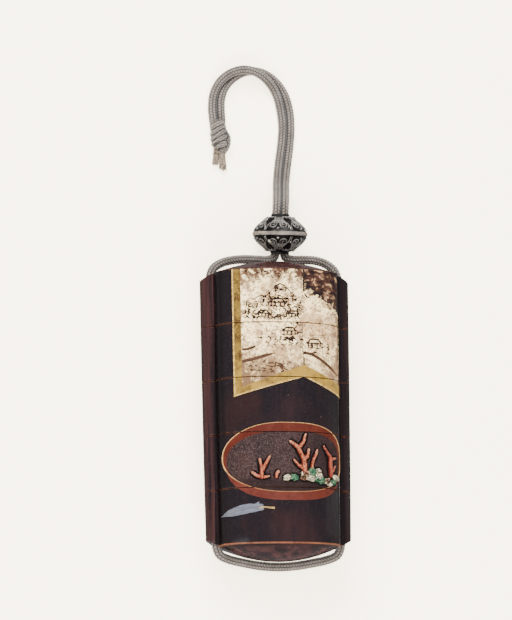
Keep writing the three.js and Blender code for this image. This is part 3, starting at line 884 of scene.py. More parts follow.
def braided_tube(name, line, radius, relief=BRAID_RELIEF, shade=1.0):
    """A closed tube round line with the braid in its surface, its UV map and its depths."""
    run = run_of(line)
    share = np.arange(BRAID_AROUND) / BRAID_AROUND
    deep = braid(share[None, :], run[:, None], settings().stitch_length)
    obj = tube(name, line, radius - relief * deep, BRAID_AROUND, lowest=0.0)
    # The depths also drive the silk's painted shade.
    store(obj, "depth", deep.ravel() * shade)
    corners = np.empty(len(obj.data.loops), int)
    obj.data.loops.foreach_get("vertex_index", corners)
    u = (corners % BRAID_AROUND) / BRAID_AROUND
    order = np.arange(len(corners))
    on_side = order < (len(obj.data.polygons) - 2) * 4
    last_column = (order // 4) % BRAID_AROUND == BRAID_AROUND - 1
    u = np.where(on_side & last_column & (u == 0), 1.0, u)
    uv = obj.data.uv_layers.new(name="UVMap")
    uv.data.foreach_set("uv", np.stack([u, run[corners // BRAID_AROUND]], axis=1).ravel())
    return obj


def paint_contact_shade(obj, line, near, far, most=1.0):
    """Paints shade on obj's stitches where it lies against another strand that follows line."""
    tree = KDTree(len(line))
    for index, point in enumerate(line):
        tree.insert(point, index)
    tree.balance()
    stored = obj.data.attributes["depth"]
    deep = np.empty(len(obj.data.vertices))
    stored.data.foreach_get("value", deep)
    gap = np.array([tree.find(v.co)[2] for v in obj.data.vertices])
    share = np.clip((far - gap) / (far - near), 0, 1)
    stored.data.foreach_set("value", np.maximum(deep, most * share ** 1.5))


class INRO_OT_cord(bpy.types.Operator):
    """Silk cord: the run held by the case, and two tails to the knot"""

    bl_idname = "inro.cord"
    bl_label = "Silk cord"

    def execute(self, context):
        s = settings()
        silk = bpy.data.materials["Silk"]
        bead, knot = (
            [bpy.data.objects[name] for name in names]
            for names in (("bead_shell", "bead_scrolls", "bead_collars", "bead_belt"),
                          ("silk_knot", "silk_frayed_ends")))
        # Piece, solid, route, the route's point where it leaves, far end, pieces on it, neighbour
        runs = (("silk_loop", "cord_loop", LOOP_ROUTE, LOOP_ROUTE[2], "object", bead, None),
                ("silk_tail_upper", "cord_tail_upper", UPPER_TAIL_ROUTE, UPPER_TAIL_ROUTE[1],
                 "knot", knot, LOWER_TAIL_ROUTE),
                ("silk_tail_lower", "cord_tail_lower", LOWER_TAIL_ROUTE, LOWER_TAIL_ROUTE[1],
                 "knot", [], UPPER_TAIL_ROUTE))
        for name, node, route, leaves, far_end, held, neighbour in runs:
            line, length = smooth_route(route, FINE_STEP)
            cord = braided_tube(name, line, s.cord_diameter / 2 + BRAID_SWELL)
            if neighbour:
                other, _ = smooth_route(neighbour, 2 * FINE_STEP)
                paint_contact_shade(cord, other, 1.6 * MM, 2.7 * MM)
            settle(cord, name, silk, [node], smooth=60)
        return {"FINISHED"}


# ---- The case's section and its front -----------------------------------------------------------


FRONT_POINTS = 53
RISER_POINTS = 24
RISER_SLOPE = 2.88  # how fast a riser falls away beside the front


def curve_depth(x, inset=0.0):
    """How far the front's curve stands from the middle plane at x, in mm."""
    across = np.minimum(np.abs(x) / (HALF_WIDTH - inset), 1.0)
    return (HALF_DEPTH - inset) * (1 - across ** POWER) ** (1 / POWER)


def front_run(edge, inset):
    """Points along the front from -edge to edge, closer together towards the edges."""
    lean = 1.2
    x = edge * np.sin(np.linspace(-lean, lean, FRONT_POINTS)) / math.sin(lean)
    return np.stack([x, -curve_depth(x, inset)], axis=1)


def both_halves(half):
    """half and its opposite, with the back cut flat where it rests on the floor."""
    ring = np.vstack([half, -half])
    ring[:, 1] = np.minimum(ring[:, 1], MID)
    return ring


def case_ring():
    """The case's outline: front, riser, back, riser."""
    angle = np.linspace(-RISER_TURN, RISER_TURN, RISER_POINTS)
    riser = np.stack([RISER_X + RISER_RADIUS * np.cos(angle), RISER_RADIUS * np.sin(angle)],
                     axis=1)
    return both_halves(np.vstack([front_run(FRONT_EDGE, 0.0), riser]))


def cavity_ring(grow=0.0):
    """The inside's outline, with as many points as the case's."""
    front = front_run(CAVITY_EDGE + grow, WALL - grow)
    corner = front[-1]
    share = (np.arange(RISER_POINTS) + 1) / (RISER_POINTS + 1)
    side = np.stack([np.full(RISER_POINTS, corner[0]), corner[1] * (1 - 2 * share)], axis=1)
    return both_halves(np.vstack([front, side]))


def dome_height(x, y):
    """Height of an end over its edge plane, in mm."""
    arch = DOME_RISE * (1 - (x / DOME_REACH) ** 2)
    return np.where(arch <= 0, arch, arch * (1 - (y / np.maximum(curve_depth(x), 0.1)) ** 2))


def narrowed(y):
    """Share of its full width that the case has at y, in mm along it."""
    down = (END - y) / (2 * END)
    return 1 - NARROWING / 2 * (down + down * down)


def lay_down(obj):
    """Takes an upright piece to its place: narrowed, on its back."""
    p = points_of(obj) / MM
    x = p[:, 0] * narrowed(p[:, 2])
    put_points(obj, np.stack([x, p[:, 2], MID - p[:, 1]], axis=1) * MM)


def front_point(x, y, lift=0.0):
    """The place on the front at x, y in mm, lifted square off it, in mm."""
    share = narrowed(y)
    flat = np.clip(np.asarray(x, float) / share, -FRONT_EDGE, FRONT_EDGE)
    over = np.abs(np.asarray(x, float) / share) - FRONT_EDGE
    depth = curve_depth(flat) - np.maximum(over, 0) * RISER_SLOPE
    near = 0.02
    rise = curve_depth(np.abs(flat) + near) - curve_depth(np.abs(flat) - near)
    slope = rise / (2 * near) / share * np.sign(flat)
    size = np.sqrt(1 + slope ** 2)
    return np.stack([x - lift * slope / size, y + 0 * depth, MID + depth + lift / size], axis=-1)


def wrap(obj, lift):
    """Lays a flat piece on the front, its own thickness outwards; lift in mm."""
    p = points_of(obj) / MM
    put_points(obj, front_point(p[:, 0], p[:, 1], lift + p[:, 2]) * MM)


# ---- Lacquer pieces -----------------------------------------------------------------------------


def section_block(bottom, top):
    """A block with the case's outline from bottom to top, upright, with rings to bend it by."""
    ring = case_ring()[::-1]
    deselect()
    bpy.ops.mesh.primitive_cylinder_add(
        vertices=len(ring), radius=RISER_X * MM, depth=(top - bottom) * MM, end_fill_type="NGON",
        location=(0, 0, (top + bottom) / 2 * MM))
    obj = bpy.context.object
    apply_place(obj)
    p = points_of(obj)
    for end in (0, 1):
        p[end::2, :2] = ring * MM
    put_points(obj, p)
    edit(obj, "EDGE")
    choose(obj, "EDGE", lambda e: abs(e.verts[0].co.z - e.verts[1].co.z) > 1 * MM)
    bpy.ops.mesh.subdivide(number_cuts=5)
    done()
    return obj


def pull(obj, old, new, height):
    """Extrudes the selected face and takes its rim from one outline to another, at height."""
    bpy.ops.mesh.extrude_region()
    bm = bmesh.from_edit_mesh(obj.data)
    for v in bm.verts:
        if v.select:
            at = np.array((v.co.x, v.co.y)) / MM
            i = int(np.argmin(((old - at) ** 2).sum(axis=1)))
            z = height(*new[i]) if callable(height) else height
            v.co = (new[i][0] * MM, new[i][1] * MM, z * MM)
    bmesh.update_edit_mesh(obj.data)


def pick_end(obj, height, up):
    """Selects the flat end at height that faces up (1) or down (-1)."""
    choose(obj, "FACE", lambda f: f.normal.z * up > 0.9
           and abs(f.calc_center_median().z - height * MM) < 0.01 * MM)


def pull_steps(obj, end, up, steps):
    """Pulls the end at that height through steps of old outline, new outline and height."""
    edit(obj)
    pick_end(obj, end, up)
    for old, new, height in steps:
        pull(obj, old, new, height)
    done()


def hollow_top(obj, top, floor):
    """The mouth with its lip, and the hollow down to the floor."""
    lip, inside = cavity_ring(LIP_WALL), cavity_ring()
    rim = top + LIP_HEIGHT - GAP
    pull_steps(obj, top, 1, ((case_ring(), lip, top), (lip, lip, rim), (lip, inside, rim),
                             (inside, inside, floor)))


def socket_below(obj, bottom, hollow_to=None):
    """The socket for the lip of the piece below, and the hollow over it where it has one."""
    mouth, inside = cavity_ring(LIP_WALL + FIT), cavity_ring()
    shoulder = bottom + LIP_HEIGHT + FIT
    steps = [(case_ring(), mouth, bottom), (mouth, mouth, shoulder)]
    if hollow_to is not None:
        steps += [(mouth, inside, shoulder), (inside, inside, hollow_to)]
    pull_steps(obj, bottom, -1, steps)


# The rings of a domed end, as shares of the outline
DOME_RINGS = (0.985, 0.96, 0.92, 0.87, 0.81, 0.74, 0.66, 0.57, 0.47, 0.36, 0.25, 0.14, 0.06)


def domed_end(obj, edge, up):
    """Arches the flat end at height edge, in rings that shrink to its middle."""
    ring = case_ring()
    edit(obj)
    pick_end(obj, edge, up)

    def height(x, y):
        return edge + up * float(dome_height(np.float64(x), np.float64(y)))

    bm = bmesh.from_edit_mesh(obj.data)
    for v in bm.verts:
        if v.select:
            v.co.z = height(v.co.x / MM, v.co.y / MM) * MM
    bmesh.update_edit_mesh(obj.data)
    size = 1.0
    for smaller in DOME_RINGS:
        pull(obj, ring * size, ring * smaller, height)
        size = smaller
    bpy.ops.mesh.merge(type="CENTER")
    done()


def on_ring(v, ring):
    """Whether a vertex of an upright piece lies on that outline."""
    at = np.array((v.co.x, v.co.y)) / MM
    return ((ring - at) ** 2).sum(axis=1).min() < 1e-6


def round_edges(obj, heights):
    """Rounds the rims at these heights (mm) and the long corners of the front and back."""
    for height in heights:
        if abs(height) > END - 0.01:
            continue
        edit(obj, action="SELECT")
        inwards = -0.6 if height == max(heights) else 0.6
        bpy.ops.mesh.bisect(plane_co=(0, 0, (height + inwards) * MM), plane_no=(0, 0, 1))
        done()
    ring = case_ring()
    corner = front_run(FRONT_EDGE, 0.0)[-1]

    def rim(e):
        a, b = e.verts
        if not (on_ring(a, ring) and on_ring(b, ring)):
            return False
        flat = all(len(f.verts) > 4 or abs(f.normal.z) > 0.3 for f in e.link_faces)
        walls = [f for f in e.link_faces if abs(f.normal.z) < 0.05]
        if len(walls) == 1 and not flat:
            return True
        upright = abs(a.co.z - b.co.z) > 0.3 * MM and abs(a.co.x - b.co.x) < 0.001 * MM
        return upright and abs(abs(a.co.x) / MM - corner[0]) < 0.01

    edit(obj, "EDGE")
    choose(obj, "EDGE", rim)
    bpy.ops.mesh.bevel(offset=settings().edge_round, segments=3, profile=0.5)
    done()


def drill(obj):
    """Cuts the cord's channel down each riser."""
    cutters = []
    for side in (-1, 1):
        deselect()
        bpy.ops.mesh.primitive_cylinder_add(
            vertices=32, radius=CHANNEL_RADIUS * MM, depth=120 * MM,
            location=(side * RISER_X * MM, 0, 0))
        cutters.append(bpy.context.object)
    cutter = join(cutters)
    modifier(obj, "BOOLEAN", operation="DIFFERENCE", object=cutter, solver="EXACT")
    bpy.data.objects.remove(cutter)


class INRO_OT_case(bpy.types.Operator):
    """Lid and four compartments in lacquer"""

    bl_idname = "inro.case"
    bl_label = "Lacquer case"

    def execute(self, context):
        lacquer = lacquer_finish()
        for index in range(5):
            top = END - PITCH * index - (GAP / 2 if index else 0)
            bottom = END - PITCH * (index + 1) + (GAP / 2 if index < 4 else 0)
            piece = section_block(bottom, top)
            if index == 0:
                socket_below(piece, bottom, hollow_to=END - DOME_WALL)
                domed_end(piece, top, 1)
            elif index < 4:
                socket_below(piece, bottom)
                hollow_top(piece, top, bottom + LIP_HEIGHT + FIT + FLOOR)
            else:
                hollow_top(piece, top, bottom + DOME_WALL)
                domed_end(piece, bottom, -1)
            round_edges(piece, (top, bottom))
            drill(piece)
            lay_down(piece)
            name = f"case_{index}" if index else "lid"
            settle(piece, "lacquer_" + name, lacquer, [name], smooth=32)
        return {"FINISHED"}


# ---- What is laid on the front ------------------------------------------------------------------


CUT_MARGIN = 0.08  # mm that a painted layer stops short of a joint's edge
LEAST_SPAN = 0.2


def compartments(low, high):
    """The stretches along the case, in mm, that its joints leave between low and high."""
    edges = [END + 1, *JOINTS, -END - 1]
    back = GAP / 2 + CUT_MARGIN
    spans = [(max(low, bottom + back), min(high, top - back))
             for top, bottom in zip(edges, edges[1:])]
    return [(a, b) for a, b in spans if b - a > LEAST_SPAN]


def trim(obj, lines):
    """Cuts away the flat piece beyond each line, given as two points; the left side stays."""
    edit(obj)
    for (ax, ay), (bx, by) in lines:
        bpy.ops.mesh.select_all(action="SELECT")
        across = Vector((by - ay, ax - bx, 0)).normalized()
        bpy.ops.mesh.bisect(plane_co=(ax * MM, ay * MM, 0), plane_no=across, clear_outer=True,
                            threshold=1e-7)
    done()


def plate(x_range, y_range, lines, thick, cell=0.7):
    """Flat sheets within two ranges and some lines, one to a compartment, with thickness."""
    sheets = []
    for low, high in compartments(*y_range):
        wide, tall = x_range[1] - x_range[0], high - low
        deselect()
        bpy.ops.mesh.primitive_grid_add(
            x_subdivisions=max(2, round(wide / cell)), y_subdivisions=max(2, round(tall / cell)),
            size=2 * MM, location=((x_range[0] + wide / 2) * MM, (low + tall / 2) * MM, 0))
        sheet = bpy.context.object
        sheet.scale = (wide / 2, tall / 2, 1)
        apply_place(sheet)
        trim(sheet, lines)
        if sheet.data.polygons:
            sheets.append(sheet)
        else:
            bpy.data.objects.remove(sheet)
    return thicken(join(sheets), thick)


def thicken(obj, thick):
    """Turns a flat sheet's faces up and gives it its thickness upwards, in mm."""
    edit(obj, action="SELECT")
    bpy.ops.mesh.normals_make_consistent(inside=False)
    done()
    if sum(f.normal.z for f in obj.data.polygons) < 0:
        edit(obj, action="SELECT")
        bpy.ops.mesh.flip_normals()
        done()
    return modifier(obj, "SOLIDIFY", thickness=thick * MM, offset=1.0)


def oval(centre, size, power, right_power, count=112, rings=None):
    """A flat oval in rings that shrink to its middle, or a band with only those in rings.

    The powers give its left and right halves their shape: 2 is an ellipse, more is squarer.
    """
    deselect()
    bpy.ops.mesh.primitive_circle_add(vertices=count, radius=1 * MM, fill_type="NOTHING")
    obj = bpy.context.object
    edit(obj, "VERT", "SELECT")
    last = 1.0
    for smaller in rings or (0.985, *np.linspace(0.95, 0.05, 17)):
        bpy.ops.mesh.extrude_edges_move()
        bpy.ops.transform.resize(value=(smaller / last, smaller / last, 1))
        last = smaller
    if rings is None:
        bpy.ops.mesh.edge_face_add()
    done()
    p = points_of(obj) / MM
    radius = np.maximum(np.linalg.norm(p[:, :2], axis=1), 1e-9)
    c, t = p[:, 0] / radius, p[:, 1] / radius
    power = power + (right_power - power) * np.clip(c * 4, 0, 1)
    reach = (np.abs(c) ** power + np.abs(t) ** power) ** (-1 / power)
    x, y = c * reach * radius, t * reach * radius
    put_points(obj, np.stack([centre[0] + x * size[0], centre[1] + y * size[1], 0 * x], axis=1)
               * MM)
    return obj


def by_compartment(flat, low, high):
    """Cuts a flat piece at the joints that it crosses, and joins what is left."""
    parts = []
    for a, b in compartments(low, high):
        part = flat.copy()
        part.data = flat.data.copy()
        bpy.context.collection.objects.link(part)
        trim(part, [((-1, a), (1, a)), ((1, b), (-1, b))])
        if part.data.polygons:
            parts.append(part)
        else:
            bpy.data.objects.remove(part)
    bpy.data.objects.remove(flat)
    return join(parts)


def painted(obj, name, finish, lift):
    """Lays a flat layer on the front, lift mm off it, and finishes it as a piece."""
    wrap(obj, lift)
    settle(obj, name, finish, smooth=40)


# The leaf's outer edge, the border's inner edge and the fold, each a line through two points
LEAF_OUTER = (((-15.5, 43.5), (-15.28, 2.5)), ((-15.28, 2.55), (6.7, 8.78)),
              ((6.7, 8.78), (20.2, 3.0)))
LEAF_INNER = (((-12.95, 43.5), (-12.9, 5.6)), ((-12.9, 5.58), (6.75, 12.6)),
              ((6.75, 12.6), (20.4, 6.7)))
LEAF_SPAN = (2.0, 43.45)
FOLD = ((6.7, 0.0), (7.25, 43.6))
LEFT_OF_FOLD, RIGHT_OF_FOLD = 7.4, (6.6, 19.3)
BORDER_JOIN = ((-12.93, 43.5), (-12.88, 0))  # where its left band ends and its lower starts
LEAF_EDGE = 0.42  # width of the bright line round the border
LEAF_LIFT, GROUND_THICK, BORDER_THICK, EDGE_THICK = 0.02, 0.05, 0.10, 0.15


def flipped(line):
    """The line the other way, so that trim keeps its other side."""
    return line[::-1]


class INRO_OT_leaf(bpy.types.Operator):
    """Painted leaf with its gold border, across the lid and two compartments"""

    bl_idname = "inro.leaf"
    bl_label = "Painted leaf"

    def execute(self, context):
        inner_left, inner_low_left, inner_low_right = LEAF_INNER
        self.layer("leaf_ground", picture_finish(), GROUND_THICK, (
            ((-15.6, LEFT_OF_FOLD), (inner_low_left, inner_left, FOLD)),
            (RIGHT_OF_FOLD, (inner_low_right, flipped(FOLD)))))
        gold, bright = gold_finish(), gold_line_finish()
        outer_left, outer_low_left, outer_low_right = LEAF_OUTER
        shift = ((LEAF_EDGE, 0), (0, LEAF_EDGE * 1.05), (0, LEAF_EDGE * 1.1))
        left, low_left, low_right = (
            tuple((x + dx, y + dy) for x, y in line)
            for line, (dx, dy) in zip(LEAF_OUTER, shift))
        self.layer("leaf_border", gold, BORDER_THICK, (
            ((-15.6, -12.8), (left, flipped(inner_left), low_left)),
            ((-13.0, LEFT_OF_FOLD), (low_left, flipped(inner_low_left), BORDER_JOIN, FOLD)),
            (RIGHT_OF_FOLD, (low_right, flipped(inner_low_right), flipped(FOLD)))))
        self.layer("leaf_edge", bright, EDGE_THICK, (
            ((-15.7, -14.8), (outer_left, flipped(left), outer_low_left)),
            ((-15.2, LEFT_OF_FOLD), (outer_low_left, flipped(low_left), left, FOLD)),
            (RIGHT_OF_FOLD, (outer_low_right, flipped(low_right), flipped(FOLD)))), cell=0.5)
        return {"FINISHED"}

    @staticmethod
    def layer(name, finish, thick, fields, cell=0.7):
        """One layer of the leaf from fields, each a range across and the lines that trim it."""
        sheets = [plate(across, LEAF_SPAN, lines, thick, cell) for across, lines in fields]
        painted(join(sheets), name, finish, LEAF_LIFT)


BRUSH_SWELL = 1.6  # how much wider the brush lays a stroke than its given width
BRUSH_STEP = 0.35
JOINT_CLEARANCE = 0.22  # mm that a stroke keeps from the middle of a joint


def stroke(points, width, taper=(0.15, 0.15)):
    """A brush stroke as rows of three points, flat, in mm; taper is its width at each end."""
    points = np.array(points, float)
    run = run_of(points)
    count = max(3, int(run[-1] / BRUSH_STEP) + 1)
    line = resampled(points, run, np.linspace(0, run[-1], count))
    ahead = np.gradient(line, axis=0)
    ahead /= np.maximum(np.linalg.norm(ahead, axis=1), 1e-9)[:, None]
    side = np.stack([-ahead[:, 1], ahead[:, 0]], axis=1)
    share = np.linspace(0, 1, count)
    swell = np.interp(share, (0, 0.25, 0.7, 1), (taper[0], 1, 1, taper[1])) * width / 2
    rows = [line + side * swell[:, None], line, line - side * swell[:, None]]
    return np.stack(rows, axis=1)


class Drawing:
    """Brush strokes gathered into one thin mesh on the front."""

    def __init__(self, seed):
        self.points, self.faces = [], []
        self.chance = random.Random(seed)

    def add(self, points, width, taper=(0.15, 0.15)):
        """Lays a stroke, broken where it crosses a joint."""
        rows = stroke(points, width * BRUSH_SWELL, taper)
        for y in JOINTS:
            crossing = np.where(np.abs(rows[:, 1, 1] - y) < JOINT_CLEARANCE)[0]
            if len(crossing):
                self.lay(rows[:crossing[0]])
                self.lay(rows[crossing[-1] + 1:])
                return
        self.lay(rows)

    def lay(self, rows):
        """Adds a stroke's rows of three points and the faces between them."""
        if len(rows) < 2:
            return
        first = len(self.points)
        self.points.extend(rows.reshape(-1, 2))
        for i in range(len(rows) - 1):
            for k in (0, 1):
                a = first + 3 * i + k
                self.faces.append((a + 1, a, a + 3, a + 4))

    def wavy(self, start, end, width, bend, taper=(0.15, 0.15)):
        """A stroke that bows to one side by a chance share of bend."""
        share = np.linspace(0, 1, 7)
        a, b = np.array(start, float), np.array(end, float)
        off = np.array([-(b - a)[1], (b - a)[0]]) * bend * self.chance.uniform(-1, 1)
        line = a + (b - a) * share[:, None] + off * (np.sin(np.pi * share))[:, None]
        self.add(line, width, taper)

    def pine(self, x, y, size):
        """Flat tufts on a leaning trunk."""
        r = self.chance
        self.wavy((x, y), (x + 0.25 * size, y + 1.5 * size), 0.24, 0.3, (1, 0.3))
        for level, wide in ((0.4, 1.5), (0.85, 1.2), (1.3, 0.9), (1.7, 0.5)):
            cx, cy = x + r.uniform(-0.35, 0.45) * size, y + level * size
            for _ in range(5):
                dx = r.uniform(-wide, wide) * size * 0.8
                lift = r.uniform(0.18, 0.42) * size * (1 - abs(dx) / (wide * size))
                self.add([(cx + dx - 0.42, cy - 0.05), (cx + dx, cy + lift * 0.6),
                          (cx + dx + 0.46, cy - 0.08)], r.uniform(0.1, 0.21))

    def house(self, x, y, wide, tall):
        """A low hall: sweeping roof, posts and a floor line."""
        eave = y + tall * 0.55
        ridge = y + tall
        for side in (-wide, wide):
            self.add([(x + side * 0.65, eave - 0.12), (x + side * 0.45, eave + 0.12),
                      (x + side * 0.3, ridge)], 0.34, (0.2, 0.6))
        self.wavy((x - wide * 0.32, ridge), (x + wide * 0.32, ridge), 0.34, 0.02, (0.8, 0.8))
        self.wavy((x - wide * 0.6, eave - 0.08), (x + wide * 0.6, eave - 0.08), 0.24, 0.01)
        for share in (-0.45, -0.15, 0.18, 0.45):
            self.wavy((x + wide * share, eave - 0.1), (x + wide * share, y), 0.24, 0.03,
                      (0.9, 0.6))
        self.wavy((x - wide * 0.55, y), (x + wide * 0.55, y), 0.14, 0.02)

    def rocks(self, x, y, wide, count):
        """Low rounded humps round a place."""
        r = self.chance
        for _ in range(count):
            cx, cy = x + r.uniform(-wide, wide), y + r.uniform(-0.6, 0.6)
            size = r.uniform(0.35, 0.9)
            self.add([(cx - size, cy), (cx - size * 0.5, cy + size * 0.6),
                      (cx + size * 0.2, cy + size * 0.7), (cx + size, cy + 0.05)],
                     r.uniform(0.2, 0.34))

    def scatter(self, x_range, y_range, count, long):
        """Short strokes of about that length, at chance over a field."""
        r = self.chance
        for _ in range(count):
            x, y = r.uniform(*x_range), r.uniform(*y_range)
            turn = r.choice((0.1, 0.5, 1.3, -0.4, 2.6))
            step = r.uniform(0.5, 1.6) * long
            self.wavy((x, y), (x + step * math.cos(turn), y + step * math.sin(turn)),
                      r.uniform(0.18, 0.34), 0.4)


    def piece(self, name, finish, lift):
        """The strokes as one piece on the front."""
        flat = np.array(self.points)
        obj = mesh_object(name, np.column_stack([flat, 0 * flat[:, 0]]) * MM, self.faces)
        wrap(obj, lift)
        return settle(obj, name, finish)


# The brush drawing: x and y in mm, then each thing's sizes or count
HILL = [(-9.6, 33.2), (-7.2, 34.6), (-5.2, 34.4), (-3.0, 36.8), (-0.8, 38.6), (1.1, 38.0),
        (3.0, 35.6), (5.0, 34.2)]
PINES = ((-2.2, 35.8, 1.3), (0.9, 36.0, 1.1), (-6.4, 32.2, 1.4), (-10.6, 28.4, 1.5),
         (3.4, 32.8, 1.2), (5.0, 29.4, 1.1), (-3.8, 28.2, 1.2), (1.2, 28.0, 1.1),
         (-8.2, 30.6, 1.2), (-11.2, 31.4, 1.0), (-4.4, 34.2, 1.1))
HALLS = ((-1.4, 31.2, 4.6, 2.5), (-6.0, 28.0, 3.4, 1.9), (3.6, 28.0, 3.3, 1.8),
         (10.4, 18.2, 4.8, 2.8), (2.2, 22.2, 4.0, 2.3))
ROCKS = ((-5.5, 27.6, 5.6, 20), (-0.5, 33.6, 3.4, 14), (3.2, 20.4, 3.0, 14), (8.6, 15.8, 2.2, 8))
SCRUB = (((-12.2, 6.0), (27.0, 31.8), 74, 0.9), ((-7.0, 5.4), (31.0, 34.6), 46, 0.8),
         ((-3.0, 3.4), (34.4, 37.4), 22, 0.7), ((-1.6, 6.0), (18.4, 25.6), 42, 0.8),
         ((-7.0, -1.6), (18.0, 22.6), 18, 0.7), ((7.6, 15.0), (15.0, 22.6), 26, 0.7),
         ((-12.0, 5.0), (9.5, 13.4), 54, 1.0), ((-12.0, 6.0), (40.4, 42.8), 34, 0.7))
FOLD_LINES = (((6.55, 42.9), (6.45, 33.0)), ((6.45, 26.0), (6.5, 14.4)))
SHORES = ((21.2, -8.8, 1.8), (20.4, -3.2, 0.6), (22.4, 8.4, 13.6), (21.6, 9.0, 12.4),
          (12.9, -5.6, 1.6))
POSTS = ((-5.2, 25.4, 22.9), (-1.9, 25.3, 23.6), (1.8, 25.4, 23.8), (5.2, 22.5, 15.6),
         (6.1, 21.5, 16.8), (13.2, 20.6, 15.2), (9.2, 20.2, 17.2), (-2.6, 19.9, 17.9))
WATER = ((((-12.75, 17.5), (-11.2, 17.55), (-9.6, 18.0), (-8.2, 18.7)), 0.5),
         (((-12.75, 13.7), (-10.0, 14.2), (-6.0, 15.3), (-2.4, 16.35)), 0.66),
         (((6.9, 16.6), (9.5, 16.1), (12.0, 14.9), (15.2, 12.8), (18.8, 10.0)), 0.6),
         (((-5.6, 12.4), (-3.6, 11.7), (-1.2, 12.6)), 0.2))
CRACKS = (([(7.2, 43.2), (7.1, 40.0), (7.0, 36.2)], 0.32, (0.9, 0.5)),
          ([(7.0, 36.0), (8.0, 34.6), (9.4, 34.3)], 0.3, (0.15, 0.15)),
          ([(6.75, 15.2), (6.72, 12.7)], 0.34, (0.4, 0.9)))
DRAWING_SEED = 11
DRAWING_LIFT = 0.115


class INRO_OT_drawing(bpy.types.Operator):
    """Brush drawing on the leaf: a hill village with pines by the water"""

    bl_idname = "inro.drawing"
    bl_label = "Brush drawing"

    def execute(self, context):
        d = Drawing(DRAWING_SEED)
        for part, width in ((HILL[:4], 0.2), (HILL[3:6], 0.3), (HILL[5:], 0.2)):
            d.add(part, width)
        for make, rows in ((d.pine, PINES), (d.house, HALLS), (d.rocks, ROCKS),
                           (d.scatter, SCRUB)):
            for row in rows:
                make(*row)
        for start, end in FOLD_LINES:
            d.wavy(start, end, 0.1, 0.01, (0.8, 0.8))
        for y, left, right in SHORES:
            d.wavy((left, y), (right, y + 0.1), 0.11, 0.01)
        for x, top, low in POSTS:
            d.wavy((x, top), (x + 0.15, low), 0.14, 0.06)
        for line, width in WATER:
            d.add(line, width, (0.9, 0.1))
        for line, width, taper in CRACKS:
            d.add(line, width, taper)
        d.piece("leaf_drawing", ink_finish(), DRAWING_LIFT)
        return {"FINISHED"}


TRAY_CENTRE = (0.05, -16.75)
NEAR_WALL_RED = ((0.047, 0.0095, 0.0062), (0.066, 0.0165, 0.0115))
FAR_WALL_PALE_RED = (0.054, 0.0110, 0.0066)


class INRO_OT_tray(bpy.types.Operator):
    """Painted oval tray: red walls, dark floor and a fine gold rim"""

    bl_idname = "inro.tray"
    bl_label = "Painted tray"

    def execute(self, context):
        near_red = red_finish("Tray near wall", *NEAR_WALL_RED)
        far_red = red_finish("Tray far wall", tuple(settings().red), FAR_WALL_PALE_RED)
        self.layer("tray_near_wall", near_red, (0.2, -19.2), (17.9, 11.15, 2.3, 3.4), (-31, -5),
                   0.02)
        self.layer("tray_far_wall", far_red, TRAY_CENTRE, (18.6, 10.95, 2.2, 3.1), (-28, -5),
                   0.055)
        self.layer("tray_floor", tray_finish(), (0.15, -18.1), (17.75, 9.55, 2.3, 3.3),
                   (-28, -8.6), 0.09)
        self.layer("tray_rim", gold_line_finish(), TRAY_CENTRE, (18.85, 11.0, 2.2, 3.1),
                   (-28.5, -5), 0.055, thick=0.1, count=160, rings=(0.986,))
        return {"FINISHED"}

    @staticmethod
    def layer(name, finish, centre, shape, along, lift, thick=0.04, **rows):
        """One oval layer: its half sizes and powers, and the stretch that it is cut to."""
        wide, high, *powers = shape
        flat = by_compartment(oval(centre, (wide, high), *powers, **rows), *along)
        painted(thicken(flat, thick), name, finish, lift)


# ---- Coral, stones and feather ------------------------------------------------------------------

# Each branch's points from its foot: x, y and half thickness
CORAL = {
    "coral_sprig": [
        [(-7.6, -23.2, 0.8), (-7.6, -20.4, 0.66), (-8.1, -17.6, 0.5)],
        [(-7.5, -21.6, 0.6), (-6.2, -18.9, 0.62), (-5, -16.8, 0.52)],
        [(-7.8, -23.1, 0.7), (-9.2, -22.6, 0.62), (-10.4, -21.6, 0.5)],
        [(-7.2, -23.2, 0.6), (-5.9, -23.0, 0.45), (-5.2, -22.8, 0.3)],
    ],
    "coral_stub": [[(-3, -23.1, 0.62), (-2.75, -22.1, 0.66), (-2.3, -21.4, 0.5)]],
    "coral_branch": [
        [(6.3, -21.2, 0.95), (6.1, -19.4, 0.95), (6, -17.6, 0.9), (5, -15.4, 0.75),
         (4, -13.6, 0.8), (1.8, -11.9, 0.5)],
        [(4.3, -14, 0.75), (6, -12.1, 0.6), (6.5, -10.6, 0.5), (6.9, -9.4, 0.3)],
        [(6, -17.6, 0.75), (7.3, -16.4, 0.66), (7.8, -14.4, 0.55)],
        [(5.9, -20.4, 0.7), (4.2, -19.2, 0.55), (3, -17.7, 0.42)],
    ],
    "coral_twig": [[(8.7, -20.2, 0.6), (9.3, -17.6, 0.58), (10.1, -16.0, 0.55),
                    (10.7, -14.4, 0.42)]],
    "coral_fork": [
        [(15.3, -22.2, 0.8), (15.1, -18.9, 0.78), (15.1, -16.6, 0.7), (14.0, -14.6, 0.45),
         (13.0, -13.0, 0.38)],
        [(15.3, -17.6, 0.6), (16.4, -16.7, 0.5), (17.2, -16.5, 0.42)],
        [(15.7, -21.2, 0.55), (16.4, -20.2, 0.5), (17.1, -19.0, 0.38)],
    ],
}
